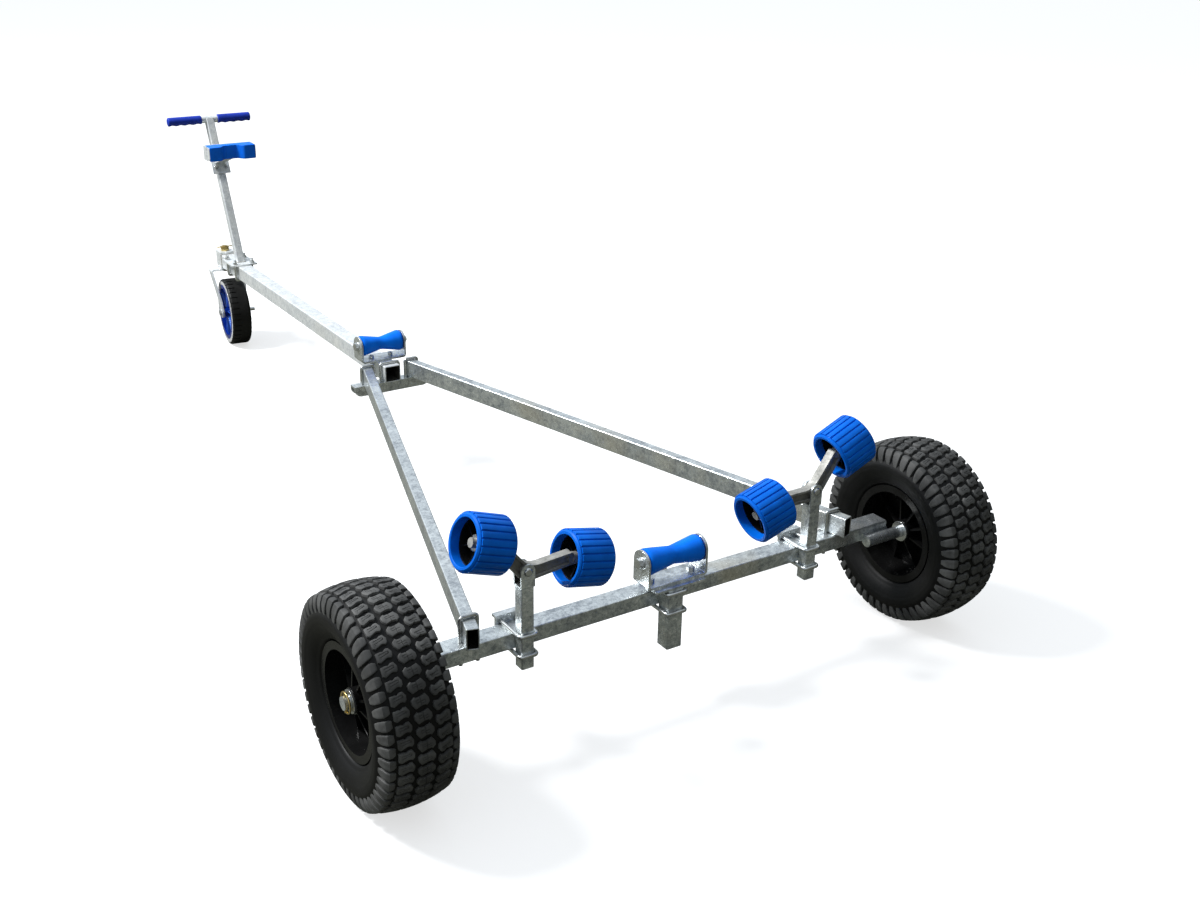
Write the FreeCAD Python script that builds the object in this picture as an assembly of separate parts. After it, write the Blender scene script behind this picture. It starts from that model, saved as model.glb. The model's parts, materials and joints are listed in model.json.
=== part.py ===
import FreeCAD, Part
import math
import os

V = FreeCAD.Vector
X, Y, Z = V(1, 0, 0), V(0, 1, 0), V(0, 0, 1)

# Driving dimensions, in mm. X is to the right, Y is forward to the handle and Z is up.
# Everything is placed from the ground below the middle of the wheel axle, and the last
# step moves it so that the origin is on the ground at the middle of the whole length.

# Main wheels
wheel_radius = 200.0
tyre_width = 145.0
wheel_stand = 60.0
bead_rise = 10.0
sidewall_share = 0.76
shoulder_width_share = 0.86
shoulder_radius_share = 0.955
tread_count = 38
groove_inner_x = 18.5
groove_outer_x = 48.0
tread_groove = 5.0
tread_depth = 5.0
lug_foot_share = 0.84
lug_depth = 5.0
rim_seat_radius = 98.0
rim_lip_thick = 6.0
rim_half_width = 55.0
rim_wall = 5.0
rim_web_offset = 10.0
rim_web_thick = 6.0
rim_rib_count = 8
rim_rib_thick = 4.0
hub_inner = 27.0
hub_outer = 45.0
hub_radius = 24.0
axle_radius = 12.5
axle_lap = 67.0
axle_end = 62.0
running_gap = 0.1
washer_radius = 22.0
washer_thick = 4.0
washer_gap = 0.5
lynch_wire = 1.8
lynch_pin_radius = 3.0
lynch_ring_radius = 19.0
weld_leg = 7.0

# Tube frame
beam_half = 570.0
beam_depth = 44.0
beam_height = 33.0
beam_lift = 28.0
beam_wall = 3.0
leg_width = 25.0
leg_height = 44.0
leg_wall = 2.5
leg_rear_x = 442.5
leg_overhang = 14.5
leg_apex_x = 62.4
leg_setback = 2.0
apex_lift = 22.0
apex_y = 1283.0
apex_depth = 30.0
apex_height = 27.0
apex_half = 106.0
apex_wall = 5.0
apex_round = 18.0
spine_size = 44.0
spine_wall = 2.5
spine_overhang = 6.0
spine_length = 1298.0
corner_radius = 3.0

# U bolts and their plates
rod_radius = 4.0
rod_slack = 0.5
hole_slack = 0.5
rod_bend = 7.0
nut_flats = 13.0
nut_height = 7.0
thread_spare = 8.0
short_spare = 2.0
plate_thick = 5.0
clamp_plate_width = 54.0
clamp_plate_spare = 12.0
clamp_flange = 10.0

# Posts with the rocking roller pairs
post_x = 336.0
post_size = 26.0
post_wall = 3.0
post_tail = 33.0
cheek_drop = 33.0
cheek_gap = 20.0
cheek_thick = 4.0
clevis_bend = 2.5
shortest_edge = 0.001
pivot_lift = 133.0
pivot_radius = 6.0
pivot_nut_flats = 19.0
pivot_dome_radius = 9.0
pivot_dome_height = 5.0
pivot_dome_shares = (0.6, 0.85, 0.45)
cheek_radius = 14.5
rocker_width = 19.0
rocker_boss_radius = 13.5
arm_end_half = 12.0
arm_end_round = 6.0
arm_end_back = 24.0
arm_end_lift = 4.0
arm_root_drop = 8.0
arm_crook = 40.0
arm_web = 7.0
arm_flange = 4.5
collar_radius = 12.0
collar_overlap = 3.0
spindle_radius = 9.0
roller_inner_x = 214.0
roller_inner_lift = 120.0
roller_outer_x = 416.0
roller_outer_lift = 208.0
roller_inner_tilt = 15.0
roller_outer_tilt = 21.0
rocker_park_turn = 2.0
roller_radius = 54.0
roller_length = 80.0
roller_wall = 11.0
roller_web = 12.0
roller_hub_radius = 16.0
roller_hub_length = 28.0
roller_edge = 4.0
roller_rib_count = 24
roller_groove = 1.8
roller_groove_width = 2.6
pin_washer_radius = 15.0
pin_washer_thick = 2.5
split_pin_radius = 1.6
split_pin_reach = 13.0
spindle_spare = 9.0

# Keel rollers and their brackets
stem_x = -12.0
stem_size = 35.0
stem_wall = 3.0
stem_tail = 85.0
keel_base_lift = 16.0
keel_rear_ahead = 3.5
keel_rear_half = 62.5
keel_pin_rise = 50.0
keel_end_radius = 27.0
keel_waist_radius = 18.5
keel_edge = 3.0
keel_bore_radius = 6.0
keel_front_ahead = 70.0
keel_front_rise = 42.0
keel_front_half = 56.0
keel_front_waist = 17.0
ear_gap = 2.5
ear_width = 52.0
ear_bend = 4.0
bracket_plate = 5.0
keel_pin_spare = 10.0
pin_head_flats = 19.0
pin_head_height = 7.0
pin_washer_rim = 12.0
pin_washer_height = 2.0
flange_half = 58.0
base_bolt_x = 48.0
base_bolt_radius = 5.0
base_bolt_flats = 15.0

# Mast, grips and bow chock
mast_size = 25.0
mast_wall = 2.5
mast_setback = 125.0
mast_rise = 431.0
mast_lean = 193.0
foot_half = 42.0
foot_depth = 100.0
foot_ahead = 5.0
foot_bolt_x = 28.0
foot_bolt_y = 37.5
bar_radius = 11.0
bar_half = 134.0
grip_length = 108.0
grip_cap = 2.0
grip_radius = 15.0
grip_waves = 4
grip_wave_depth = 2.0
grip_wave_share = 0.9
chock_half = 74.0
chock_height = 44.0
chock_depth = 50.0
chock_recess = 22.0
chock_ahead = 5.0
chock_lift = 362.0
chock_pad = 38.0
chock_blend = 14.0
chock_round = 10.0
chock_steel = 3.0
clamp_station_share = 0.66
chock_plate_width = 56.0
chock_plate_height = 44.0
chock_strap_width = 32.0

# Front caster
head_size = 50.0
head_length = 52.0
head_wall = 4.0
head_corner = 8.0
caster_radius = 110.0
caster_width = 62.0
caster_rim_radius = 84.0
caster_rim_wall = 6.0
caster_trail = 71.0
caster_park_turn = 6.0
caster_hub_radius = 17.0
caster_axle_radius = 6.0
caster_rib_count = 6
caster_rib_share = 0.7
caster_crown_shares = (0.75, 0.9)
caster_shoulder_shares = (0.985, 0.95)
caster_notch_count = 36
caster_notch_width = 4.0
caster_notch_depth = 2.5
caster_notch_share = 0.42
caster_washer_thick = 5.0
fork_thick = 6.0
fork_width = 42.0
fork_gap = 7.0
fork_spread = 57.0
fork_knee = 34.0
fork_bend = 9.0
kingpin_head = 6.0
kingpin_head_radius = 13.0
kingpin_radius = 8.0
kingpin_nut_flats = 24.0
kingpin_nut_height = 15.0
kingpin_spare = 2.0
kingpin_cotter = 2.0
kingpin_cotter_half = 25.0

# Values that follow from those above
wheel_x = beam_half + wheel_stand
rim_lip_radius = rim_seat_radius + bead_rise
hub_inner_x = wheel_x - hub_inner
hub_outer_x = wheel_x + hub_outer
axle_inner_x = beam_half - axle_lap
axle_outer_x = wheel_x + axle_end
beam_top = wheel_radius + beam_lift
beam_bottom = beam_top - beam_height
beam_rear_y = axle_radius
leg_rear_y = beam_rear_y - leg_overhang
leg_front_y = apex_y + apex_depth - leg_setback
apex_top = beam_top + apex_lift
apex_mid_y = apex_y + apex_depth / 2
leg_run = (leg_rear_x - leg_apex_x) / (apex_mid_y - leg_rear_y)
spine_rear_y = apex_y - spine_overhang
spine_front_y = spine_rear_y + spine_length
post_bottom = beam_bottom - post_tail
pivot_z = beam_top + pivot_lift
stem_bottom = beam_bottom - stem_tail
keel_rear_base = beam_top + keel_base_lift
keel_rear_y = beam_rear_y + keel_rear_ahead
keel_front_y = apex_y + keel_front_ahead
mast_foot_y = spine_front_y - mast_setback
beam_front_y = beam_rear_y + beam_depth
beam_mid_z = (beam_top + beam_bottom) / 2
post_y = beam_rear_y - post_size / 2
stem_y = beam_rear_y - stem_size / 2
spine_top = apex_top + spine_size
leg_slope = (apex_top - beam_top) / (apex_y - beam_rear_y)
rod_step = rod_radius + rod_slack
rod_up_z = beam_top + rod_step
rod_down_z = beam_bottom - rod_step
head_y = spine_front_y + head_size / 2
caster_y = head_y - caster_trail
mast_angle = math.atan2(mast_lean, mast_rise)
mast_dir = V(0, math.sin(mast_angle), math.cos(mast_angle))
mast_normal = V(0, math.cos(mast_angle), -math.sin(mast_angle))
mast_length = math.hypot(mast_lean, mast_rise)
foot_top = spine_top + plate_thick
chock_y = mast_foot_y + chock_ahead
chock_z = spine_top + chock_lift
roller_inner = (roller_inner_x, beam_top + roller_inner_lift)
roller_outer = (roller_outer_x, beam_top + roller_outer_lift)
mast_base = V(0, mast_foot_y, foot_top)
mast_head = mast_base + mast_dir * mast_length


# Helpers

def box(x0, x1, y0, y1, z0, z1):
    """A block between two corners."""
    return Part.makeBox(x1 - x0, y1 - y0, z1 - z0, V(x0, y0, z0))


def fuse(shapes):
    """One clean solid from several that overlap or share a face."""
    whole = shapes[0]
    if len(shapes) > 1:
        whole = whole.fuse(list(shapes[1:]))
    return whole.removeSplitter()


def frame_point(origin, u, v, a, b):
    """The point a along u and b along v from an origin."""
    return origin + u * a + v * b


def flat(points):
    """A face from a closed row of corner points."""
    return Part.Face(Part.makePolygon(list(points) + [points[0]]))


def rounded(points, radii):
    """A face from a row of corners, each rounded by its own radius, or sharp at 0."""
    edges = []
    marks = []
    for i, here in enumerate(points):
        before = points[i - 1] - here
        after = points[(i + 1) % len(points)] - here
        before.normalize()
        after.normalize()
        radius = radii[i]
        half = before.getAngle(after) / 2
        cut = radius / math.tan(half)
        inward = before + after
        if radius > 0:
            inward.normalize()
            middle = here + inward * (radius / math.sin(half) - radius)
            marks.append((here + before * cut, middle, here + after * cut))
        else:
            marks.append((here, None, here))
    for i, (first, middle, last) in enumerate(marks):
        if middle is not None:
            edges.append(Part.Arc(first, middle, last).toShape())
        following = marks[(i + 1) % len(marks)][0]
        if (following - last).Length > shortest_edge:
            edges.append(Part.makeLine(last, following))
    return Part.Face(Part.Wire(edges))


def round_rect(origin, u, v, width, height, radius):
    """A rounded rectangle wire around an origin, in the plane of u and v."""
    a, b = width / 2, height / 2
    k = radius * (1 - math.sqrt(0.5))
    edges = []
    corners = [(1, 1), (-1, 1), (-1, -1), (1, -1)]
    ends = []
    for sx, sy in corners:
        first = (sx * a, sy * (b - radius))
        last = (sx * (a - radius), sy * b)
        if sx * sy < 0:
            first, last = last, first
        middle = (sx * (a - k), sy * (b - k))
        ends.append((first, middle, last))
    for i, (first, middle, last) in enumerate(ends):
        following = ends[(i + 1) % len(ends)][0]
        p, q, r, s = [frame_point(origin, u, v, *c) for c in (first, middle, last, following)]
        edges.append(Part.Arc(p, q, r).toShape())
        edges.append(Part.makeLine(r, s))
    return Part.Wire(edges)


def tube(start, direction, length, u, v, width, height, wall, radius=corner_radius):
    """A hollow box section from a start point along a direction."""
    inside = max(radius - wall, radius / 3)
    outer = Part.Face(round_rect(start, u, v, width, height, radius))
    hollow = Part.Face(round_rect(start, u, v, width - 2 * wall, height - 2 * wall, inside))
    return outer.cut(hollow).extrude(direction * length)


def rod(start, end, radius):
    """A round rod between two points."""
    along = end - start
    return Part.makeCylinder(radius, along.Length, start, along)


def hexagon(start, direction, height, flats):
    """A six-sided nut or bolt head."""
    side = direction.cross(Z if abs(direction.z) < abs(direction.x) + abs(direction.y) else X)
    side.normalize()
    other = direction.cross(side)
    other.normalize()
    reach = flats / math.sqrt(3)
    corners = []
    for k in range(6):
        t = math.pi * k / 3
        corners.append(frame_point(start, side, other, reach * math.cos(t), reach * math.sin(t)))
    return flat(corners).extrude(direction * height)


def turned(points, centre, axis=X, radial=Z):
    """A body of revolution from (along, radius) pairs; a pair of pairs is an arc's
    middle and end."""
    def place(pair):
        return frame_point(centre, axis, radial, pair[0], pair[1])
    edges = []
    here = points[0]
    for step in list(points[1:]) + [points[0]]:
        if isinstance(step[0], tuple):
            edges.append(Part.Arc(place(here), place(step[0]), place(step[1])).toShape())
            here = step[1]
        elif math.hypot(step[0] - here[0], step[1] - here[1]) > 0:
            edges.append(Part.makeLine(place(here), place(step)))
            here = step
    return Part.Face(Part.Wire(edges)).revolve(centre, axis, 360)


def u_bolt(back, side, along, half, reach, plate_far):
    """A bent rod: its back at a point, its legs half a width to each side, with a nut
    on each leg beyond a plate whose far face is plate_far along the legs."""
    def at(a, b):
        return frame_point(back, side, along, a, b)
    k = rod_bend * (1 - math.sqrt(0.5))
    path = Part.Wire([
        Part.makeLine(at(-half, reach), at(-half, rod_bend)),
        Part.Arc(at(-half, rod_bend), at(k - half, k), at(rod_bend - half, 0)).toShape(),
        Part.makeLine(at(rod_bend - half, 0), at(half - rod_bend, 0)),
        Part.Arc(at(half - rod_bend, 0), at(half - k, k), at(half, rod_bend)).toShape(),
        Part.makeLine(at(half, rod_bend), at(half, reach)),
    ])
    ring = Part.Wire([Part.makeCircle(rod_radius, at(-half, reach), along)])
    bent = path.makePipeShell([ring], True, False)
    nuts = [hexagon(at(s * half, plate_far), along, nut_height, nut_flats) for s in (-1, 1)]
    return fuse([bent] + nuts)


def mirrored(shape):
    """The same shape on the other side of the trolley."""
    return shape.mirror(V(0, 0, 0), X)


parts = {}


# Cross beam with the four holes of the leg clamps

def leg_x(y):
    """The middle of the right leg at a place along the trolley."""
    return leg_rear_x - (y - leg_rear_y) * leg_run


clamp_y = beam_rear_y + beam_depth / 2
leg_clamp_x = leg_x(clamp_y)
leg_half = leg_width / 2 * math.sqrt(1 + leg_run ** 2) + rod_step
beam = tube(V(-beam_half, clamp_y, beam_mid_z), X, 2 * beam_half, Y, Z,
            beam_depth, beam_height, beam_wall)
for middle in (leg_clamp_x, -leg_clamp_x):
    for side in (-1, 1):
        foot = V(middle + side * leg_half, clamp_y, beam_bottom - rod_radius)
        beam = beam.cut(Part.makeCylinder(rod_radius + hole_slack, beam_height * 2, foot))
parts["cross_beam"] = beam

# Stub axles, welded to the back of the beam, with a bead above and below
stub = rod(V(axle_inner_x, 0, wheel_radius), V(axle_outer_x, 0, wheel_radius), axle_radius)
beads = []
for side in (1, -1):
    corner = V(axle_inner_x, axle_radius, wheel_radius)
    far = axle_radius - weld_leg
    lift = math.sqrt(axle_radius ** 2 - far ** 2)
    points = [corner,
              V(axle_inner_x, axle_radius, wheel_radius + side * (lift + weld_leg / 2)),
              V(axle_inner_x, far, wheel_radius + side * lift),
              V(axle_inner_x, far, wheel_radius)]
    beads.append(flat(points).extrude(X * (beam_half - axle_inner_x)))
beads = [bead.common(box(axle_inner_x, beam_half, 0, axle_radius, beam_bottom, beam_top))
         for bead in beads]
stub = fuse([stub] + beads)
pin_x = (hub_outer_x + washer_gap + washer_thick + axle_outer_x) / 2
stub = stub.cut(Part.makeCylinder(lynch_pin_radius + running_gap, 4 * axle_radius,
                                  V(pin_x, 0, wheel_radius - 2 * axle_radius)))
parts["stub_axles"] = Part.makeCompound([stub, mirrored(stub)])

# Washers at both ends of each hub, and the lynch pin with its spring ring
collar = Part.makeCylinder(washer_radius, washer_thick,
                           V(hub_inner_x - washer_gap - washer_thick, 0, wheel_radius), X)
outer_washer = Part.makeCylinder(washer_radius, washer_thick,
                                 V(hub_outer_x + washer_gap, 0, wheel_radius), X)
bore = rod(V(axle_inner_x, 0, wheel_radius), V(axle_outer_x, 0, wheel_radius), axle_radius)
parts["axle_washers"] = Part.makeCompound(
    [w for ring in (collar, outer_washer) for w in (ring.cut(bore), mirrored(ring.cut(bore)))])
pin = Part.makeCylinder(lynch_pin_radius, 2 * lynch_ring_radius,
                        V(pin_x, 0, wheel_radius - lynch_ring_radius))
ring = Part.makeTorus(lynch_ring_radius, lynch_wire, V(pin_x, 0, wheel_radius), X)
lynch = fuse([pin, ring])
parts["lynch_pins"] = Part.makeCompound([lynch, mirrored(lynch)])


# Legs of the A frame, rising a little to the front

def make_leg():
    """The right leg, open at both ends and cut square to its own run."""
    heading = V(-leg_run, 1, leg_slope)
    heading.normalize()
    across = V(1, leg_run, 0)
    across.normalize()
    up = across.cross(heading)
    span = (leg_front_y - leg_rear_y) / heading.y
    base_z = beam_top - (beam_rear_y - leg_rear_y) * leg_slope
    start = V(leg_rear_x, leg_rear_y, base_z) + up * (leg_height / 2)
    return tube(start, heading, span, across, up, leg_width, leg_height, leg_wall)


leg = make_leg()
parts["leg_right"] = leg
parts["leg_left"] = mirrored(leg)

# Apex bar, a channel under the legs and the spine, open below, with rounded flange ends
apex_low = apex_top - apex_height
apex = box(-apex_half, apex_half, apex_y, apex_y + apex_depth, apex_low, apex_top)
corners = [e for e in apex.Edges if abs(e.CenterOfMass.z - apex_low) < apex_wall
           and abs(abs(e.CenterOfMass.x) - apex_half) < apex_wall]
apex = apex.makeFillet(apex_round, corners)
apex = apex.cut(box(-2 * apex_half, 2 * apex_half, apex_y + apex_wall,
                    apex_y + apex_depth - apex_wall, 0, apex_top - apex_wall))

# Spine
spine = tube(V(0, spine_rear_y, apex_top + spine_size / 2), Y, spine_front_y - spine_rear_y,
             X, Z, spine_size, spine_size, spine_wall)
parts["spine"] = spine

# Clamps over the legs at the beam
over_leg = beam_top + leg_height + (clamp_y - beam_rear_y) * leg_slope + rod_radius


def down_clamp(x, y, top, half, low):
    """A U bolt over a tube at x, y, with its nuts under a face at height low."""
    return u_bolt(V(x, y, top), X, -Z, half, top - low + nut_height + thread_spare, top - low)


top_leg = over_leg + leg_height * leg_slope ** 2 + rod_slack
rear_clamp = down_clamp(leg_clamp_x, clamp_y, top_leg, leg_half, beam_bottom)
parts["leg_clamps"] = Part.makeCompound([rear_clamp, mirrored(rear_clamp)])

# Clamps at the apex: one over each leg and one over the spine
web_low = apex_top - apex_wall
spine_half = spine_size / 2 + rod_step
apex_leg_top = apex_top + leg_height + (apex_mid_y - apex_y) * leg_slope + rod_step
apex_clamp = down_clamp(leg_apex_x, apex_mid_y, apex_leg_top, leg_half, web_low)
spine_clamp = down_clamp(0, apex_mid_y, spine_top + rod_radius, spine_half, web_low)
for middle, half in ((leg_apex_x, leg_half), (-leg_apex_x, leg_half), (0, spine_half)):
    for side in (-1, 1):
        foot = V(middle + side * half, apex_mid_y, web_low - rod_radius)
        apex = apex.cut(Part.makeCylinder(rod_radius + hole_slack, 2 * apex_height, foot))
parts["apex_bar"] = apex
parts["apex_clamps"] = Part.makeCompound([apex_clamp, mirrored(apex_clamp), spine_clamp])

# Post with a clevis of two round-topped cheeks welded on its end
post_top = pivot_z - cheek_drop
post = tube(V(post_x, post_y, post_bottom), Z, post_top + cheek_thick / 2 - post_bottom, X, Y,
            post_size, post_size, post_wall)
clevis_half = cheek_gap / 2 + cheek_thick
clevis_side = rounded([V(post_x, post_y - clevis_half, post_top),
                       V(post_x, post_y + clevis_half, post_top),
                       V(post_x, post_y + clevis_half, pivot_z + cheek_radius),
                       V(post_x, post_y + cheek_gap / 2, pivot_z + cheek_radius),
                       V(post_x, post_y + cheek_gap / 2, post_top + cheek_thick),
                       V(post_x, post_y - cheek_gap / 2, post_top + cheek_thick),
                       V(post_x, post_y - cheek_gap / 2, pivot_z + cheek_radius),
                       V(post_x, post_y - clevis_half, pivot_z + cheek_radius)],
                      [clevis_bend, clevis_bend, 0, 0, 0, 0, 0, 0])
clevis = clevis_side.extrude(X * (2 * cheek_radius)).translated(X * -cheek_radius)
cheek_front = rounded([V(post_x - cheek_radius, 0, post_top), V(post_x + cheek_radius, 0, post_top),
                       V(post_x + cheek_radius, 0, pivot_z + cheek_radius),
                       V(post_x - cheek_radius, 0, pivot_z + cheek_radius)],
                      [0, 0, cheek_radius - rod_slack, cheek_radius - rod_slack])
cheek_front = cheek_front.extrude(Y * (4 * clevis_half)).translated(Y * (-2 * clevis_half))
post = fuse([post, clevis.common(cheek_front)])
post = post.cut(rod(V(post_x, post_y - post_size, pivot_z), V(post_x, post_y + post_size, pivot_z),
                    pivot_radius))
parts["post_right"] = post
parts["post_left"] = mirrored(post)


# Clamps that hold a post or stem on the back of the beam

def back_clamp(x, width):
    """Two U bolts around a post and the channel plate in front of the beam."""
    half = width / 2 + rod_step
    rear = beam_rear_y - width - rod_radius
    far = beam_front_y + plate_thick - rear
    reach = far + nut_height + thread_spare
    bolts = [u_bolt(V(x, rear, z), X, Y, half, reach, far) for z in (rod_up_z, rod_down_z)]
    wide = max(clamp_plate_width, width + 4 * rod_step + nut_flats)
    low, high = rod_down_z - clamp_plate_spare, rod_up_z + clamp_plate_spare
    plate = box(x - wide / 2, x + wide / 2, beam_front_y, beam_front_y + plate_thick, low, high)
    for z in (low, high - plate_thick):
        plate = plate.fuse(box(x - wide / 2, x + wide / 2, beam_front_y,
                               beam_front_y + plate_thick + clamp_flange, z, z + plate_thick))
    for z in (rod_up_z, rod_down_z):
        for side in (-1, 1):
            hole = rod(V(x + side * half, beam_front_y - plate_thick, z),
                       V(x + side * half, beam_front_y + 4 * plate_thick, z),
                       rod_radius + hole_slack)
            plate = plate.cut(hole)
    return bolts, plate.removeSplitter()


post_bolts, post_plate = back_clamp(post_x, post_size)
parts["post_clamps"] = Part.makeCompound(post_bolts + [mirrored(b) for b in post_bolts])
parts["post_plates"] = Part.makeCompound([post_plate, mirrored(post_plate)])

# Keel stem with its clamp
flange_low = keel_rear_base - plate_thick
stem = tube(V(stem_x, stem_y, stem_bottom), Z, flange_low - stem_bottom, X, Y,
            stem_size, stem_size, stem_wall)
flange = box(-flange_half, flange_half, stem_y - stem_size / 2, keel_rear_y + stem_size / 2,
             flange_low, keel_rear_base)
stem = fuse([stem, flange])
base_bolts = []
for side in (-1, 1):
    low = V(side * base_bolt_x, keel_rear_y, flange_low)
    high = V(side * base_bolt_x, keel_rear_y, keel_rear_base + bracket_plate)
    stem = stem.cut(rod(low - Z, high, base_bolt_radius + hole_slack))
    base_bolts.append(fuse([rod(low, high + Z * (nut_height + rod_slack), base_bolt_radius),
                            hexagon(low, -Z, nut_height, base_bolt_flats),
                            hexagon(high, Z, nut_height, base_bolt_flats)]))
parts["keel_stem"] = stem
parts["keel_base_bolts"] = Part.makeCompound(base_bolts)
stem_bolts, stem_plate = back_clamp(stem_x, stem_size)
parts["stem_clamps"] = Part.makeCompound(stem_bolts)
parts["stem_plate"] = stem_plate


# Rocking roller pairs

def roller_frame(centre, tilt):
    """Where a roller sits and the way its axis points outward."""
    t = math.radians(tilt)
    return V(centre[0], post_y, centre[1]), V(math.cos(t), 0, math.sin(t))


def make_roller(centre, axis):
    """A hollow ribbed roller with a web and a hub in its middle."""
    half = roller_length / 2
    inner = roller_radius - roller_wall
    web = roller_web / 2
    hub = roller_hub_length / 2
    bore_radius = spindle_radius + running_gap
    radial = Y.cross(axis)
    body = turned([(-half, inner), (-half, roller_radius - roller_edge),
                   (roller_edge - half, roller_radius), (half - roller_edge, roller_radius),
                   (half, roller_radius - roller_edge), (half, inner), (web, inner - roller_edge),
                   (web, roller_hub_radius), (hub, roller_hub_radius), (hub, bore_radius),
                   (-hub, bore_radius), (-hub, roller_hub_radius), (-web, roller_hub_radius),
                   (-web, inner - roller_edge)], centre, axis, radial)
    cuts = []
    for k in range(roller_rib_count):
        t = 2 * math.pi * k / roller_rib_count
        out = Y * math.cos(t) + radial * math.sin(t)
        side = out.cross(axis)
        base = centre - axis * roller_length + out * (roller_radius - roller_groove)
        a, b = side * (roller_groove_width / 2), out * (2 * roller_groove)
        cuts.append(flat([base - a, base + a, base + a + b, base - a + b])
                    .extrude(axis * (2 * roller_length)))
    return body.cut(cuts)


def crossing(p, d, q, e):
    """Where two lines in the XZ plane meet, each given by a point and a direction."""
    share = ((q.x - p.x) * e.z - (q.z - p.z) * e.x) / (d.x * e.z - d.z * e.x)
    return p + d * share


def make_rocker():
    """The right rocker: a boss on the pivot and two arms with raised edges, whose
    spindles carry the rollers, with the washers and split pins that hold these."""
    pivot = V(post_x, post_y, pivot_z)
    root = pivot - Z * arm_root_drop
    ends, axes, middles, seats = [], [], [], []
    for centre, tilt, outward in ((roller_inner, roller_inner_tilt, -1),
                                  (roller_outer, roller_outer_tilt, 1)):
        middle, axis = roller_frame(centre, tilt)
        middles.append(middle)
        axes.append(axis * outward)
        seats.append(middle - axis * (outward * arm_end_back))
        ends.append(seats[-1] + Z * arm_end_lift)
    ways = [(end - root).normalize() for end in ends]
    ups = [ways[0].cross(Y) * -1, ways[1].cross(Y)]
    ups = [up if up.z > 0 else up * -1 for up in ups]
    tops = [root + up * rocker_boss_radius for up in ups]
    lows = [root - up * rocker_boss_radius for up in ups]
    end_tops = [end + up * arm_end_half for end, up in zip(ends, ups)]
    end_lows = [end - up * arm_end_half for end, up in zip(ends, ups)]
    crook = crossing(tops[0], end_tops[0] - tops[0], tops[1], end_tops[1] - tops[1])
    heel = crossing(lows[0], end_lows[0] - lows[0], lows[1], end_lows[1] - lows[1])
    corners = [end_tops[0], crook, end_tops[1], end_lows[1], heel, end_lows[0]]
    radii = [arm_end_round, arm_crook, arm_end_round, arm_end_round, rocker_boss_radius,
             arm_end_round]
    outline = rounded(corners, radii)
    body = outline.extrude(Y * rocker_width).translated(Y * (-rocker_width / 2))
    inset = outline.makeOffset2D(-arm_flange)
    depth = (rocker_width - arm_web) / 2
    keep = [rod(pivot - Y * rocker_width, pivot + Y * rocker_width, rocker_boss_radius)]
    keep += [rod(end - Y * rocker_width, end + Y * rocker_width, arm_end_half) for end in ends]
    for face in (-rocker_width / 2, rocker_width / 2 - depth):
        body = body.cut(inset.extrude(Y * depth).translated(Y * face).cut(keep))
    pieces, washers = [body], []
    hub_half = roller_hub_length / 2
    for seat, axis, middle in zip(seats, axes, middles):
        shoulder = middle - axis * (hub_half + washer_gap)
        tip = middle + axis * (hub_half + pin_washer_thick + spindle_spare)
        pieces.append(rod(seat - axis * collar_overlap, shoulder, collar_radius))
        pieces.append(rod(seat, tip, spindle_radius))
        face = middle + axis * (hub_half + washer_gap)
        washer = rod(face, face + axis * pin_washer_thick, pin_washer_radius)
        washers.append(washer.cut(rod(seat, tip, spindle_radius)))
        cross = face + axis * (pin_washer_thick + split_pin_radius)
        washers.append(rod(cross - Y * split_pin_reach, cross + Y * split_pin_reach,
                           split_pin_radius))
    body = fuse(pieces)
    for washer in washers[1::2]:
        body = body.cut(washer)
    body = body.cut(rod(pivot - Y * rocker_width, pivot + Y * rocker_width,
                        pivot_radius + running_gap))
    return body, washers


rocker, rocker_washers = make_rocker()
parts["rocker_right"] = rocker
parts["rocker_left"] = mirrored(rocker)
parts["spindle_pins_right"] = Part.makeCompound(rocker_washers)
parts["spindle_pins_left"] = mirrored(Part.makeCompound(rocker_washers))
for name, centre, tilt in (("outer", roller_outer, roller_outer_tilt),
                           ("inner", roller_inner, roller_inner_tilt)):
    middle, axis = roller_frame(centre, tilt)
    roller = make_roller(middle, axis)
    parts["roller_right_" + name] = roller
    parts["roller_left_" + name] = mirrored(roller)
for side, pivot_x in (("right", post_x), ("left", -post_x)):
    for name in ("rocker_" + side, "spindle_pins_" + side, "roller_" + side + "_outer",
                 "roller_" + side + "_inner"):
        parts[name] = parts[name].rotated(V(pivot_x, post_y, pivot_z), Y, -rocker_park_turn)

# Pivot pins through the cheeks, domed on the side that shows
dome_high, dome_wide, dome_flat = pivot_dome_shares
pivot_pin = fuse([
    rod(V(post_x, post_y - clevis_half, pivot_z),
        V(post_x, post_y + clevis_half + nut_height, pivot_z), pivot_radius),
    turned([(0, 0), (0, pivot_dome_radius),
            ((pivot_dome_height * dome_high, pivot_dome_radius * dome_wide),
             (pivot_dome_height, pivot_dome_radius * dome_flat)), (pivot_dome_height, 0)],
           V(post_x, post_y - clevis_half, pivot_z), -Y),
    hexagon(V(post_x, post_y + clevis_half, pivot_z), Y, nut_height, pivot_nut_flats)])
parts["pivot_pins"] = Part.makeCompound([pivot_pin, mirrored(pivot_pin)])


# Keel rollers in their brackets

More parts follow.
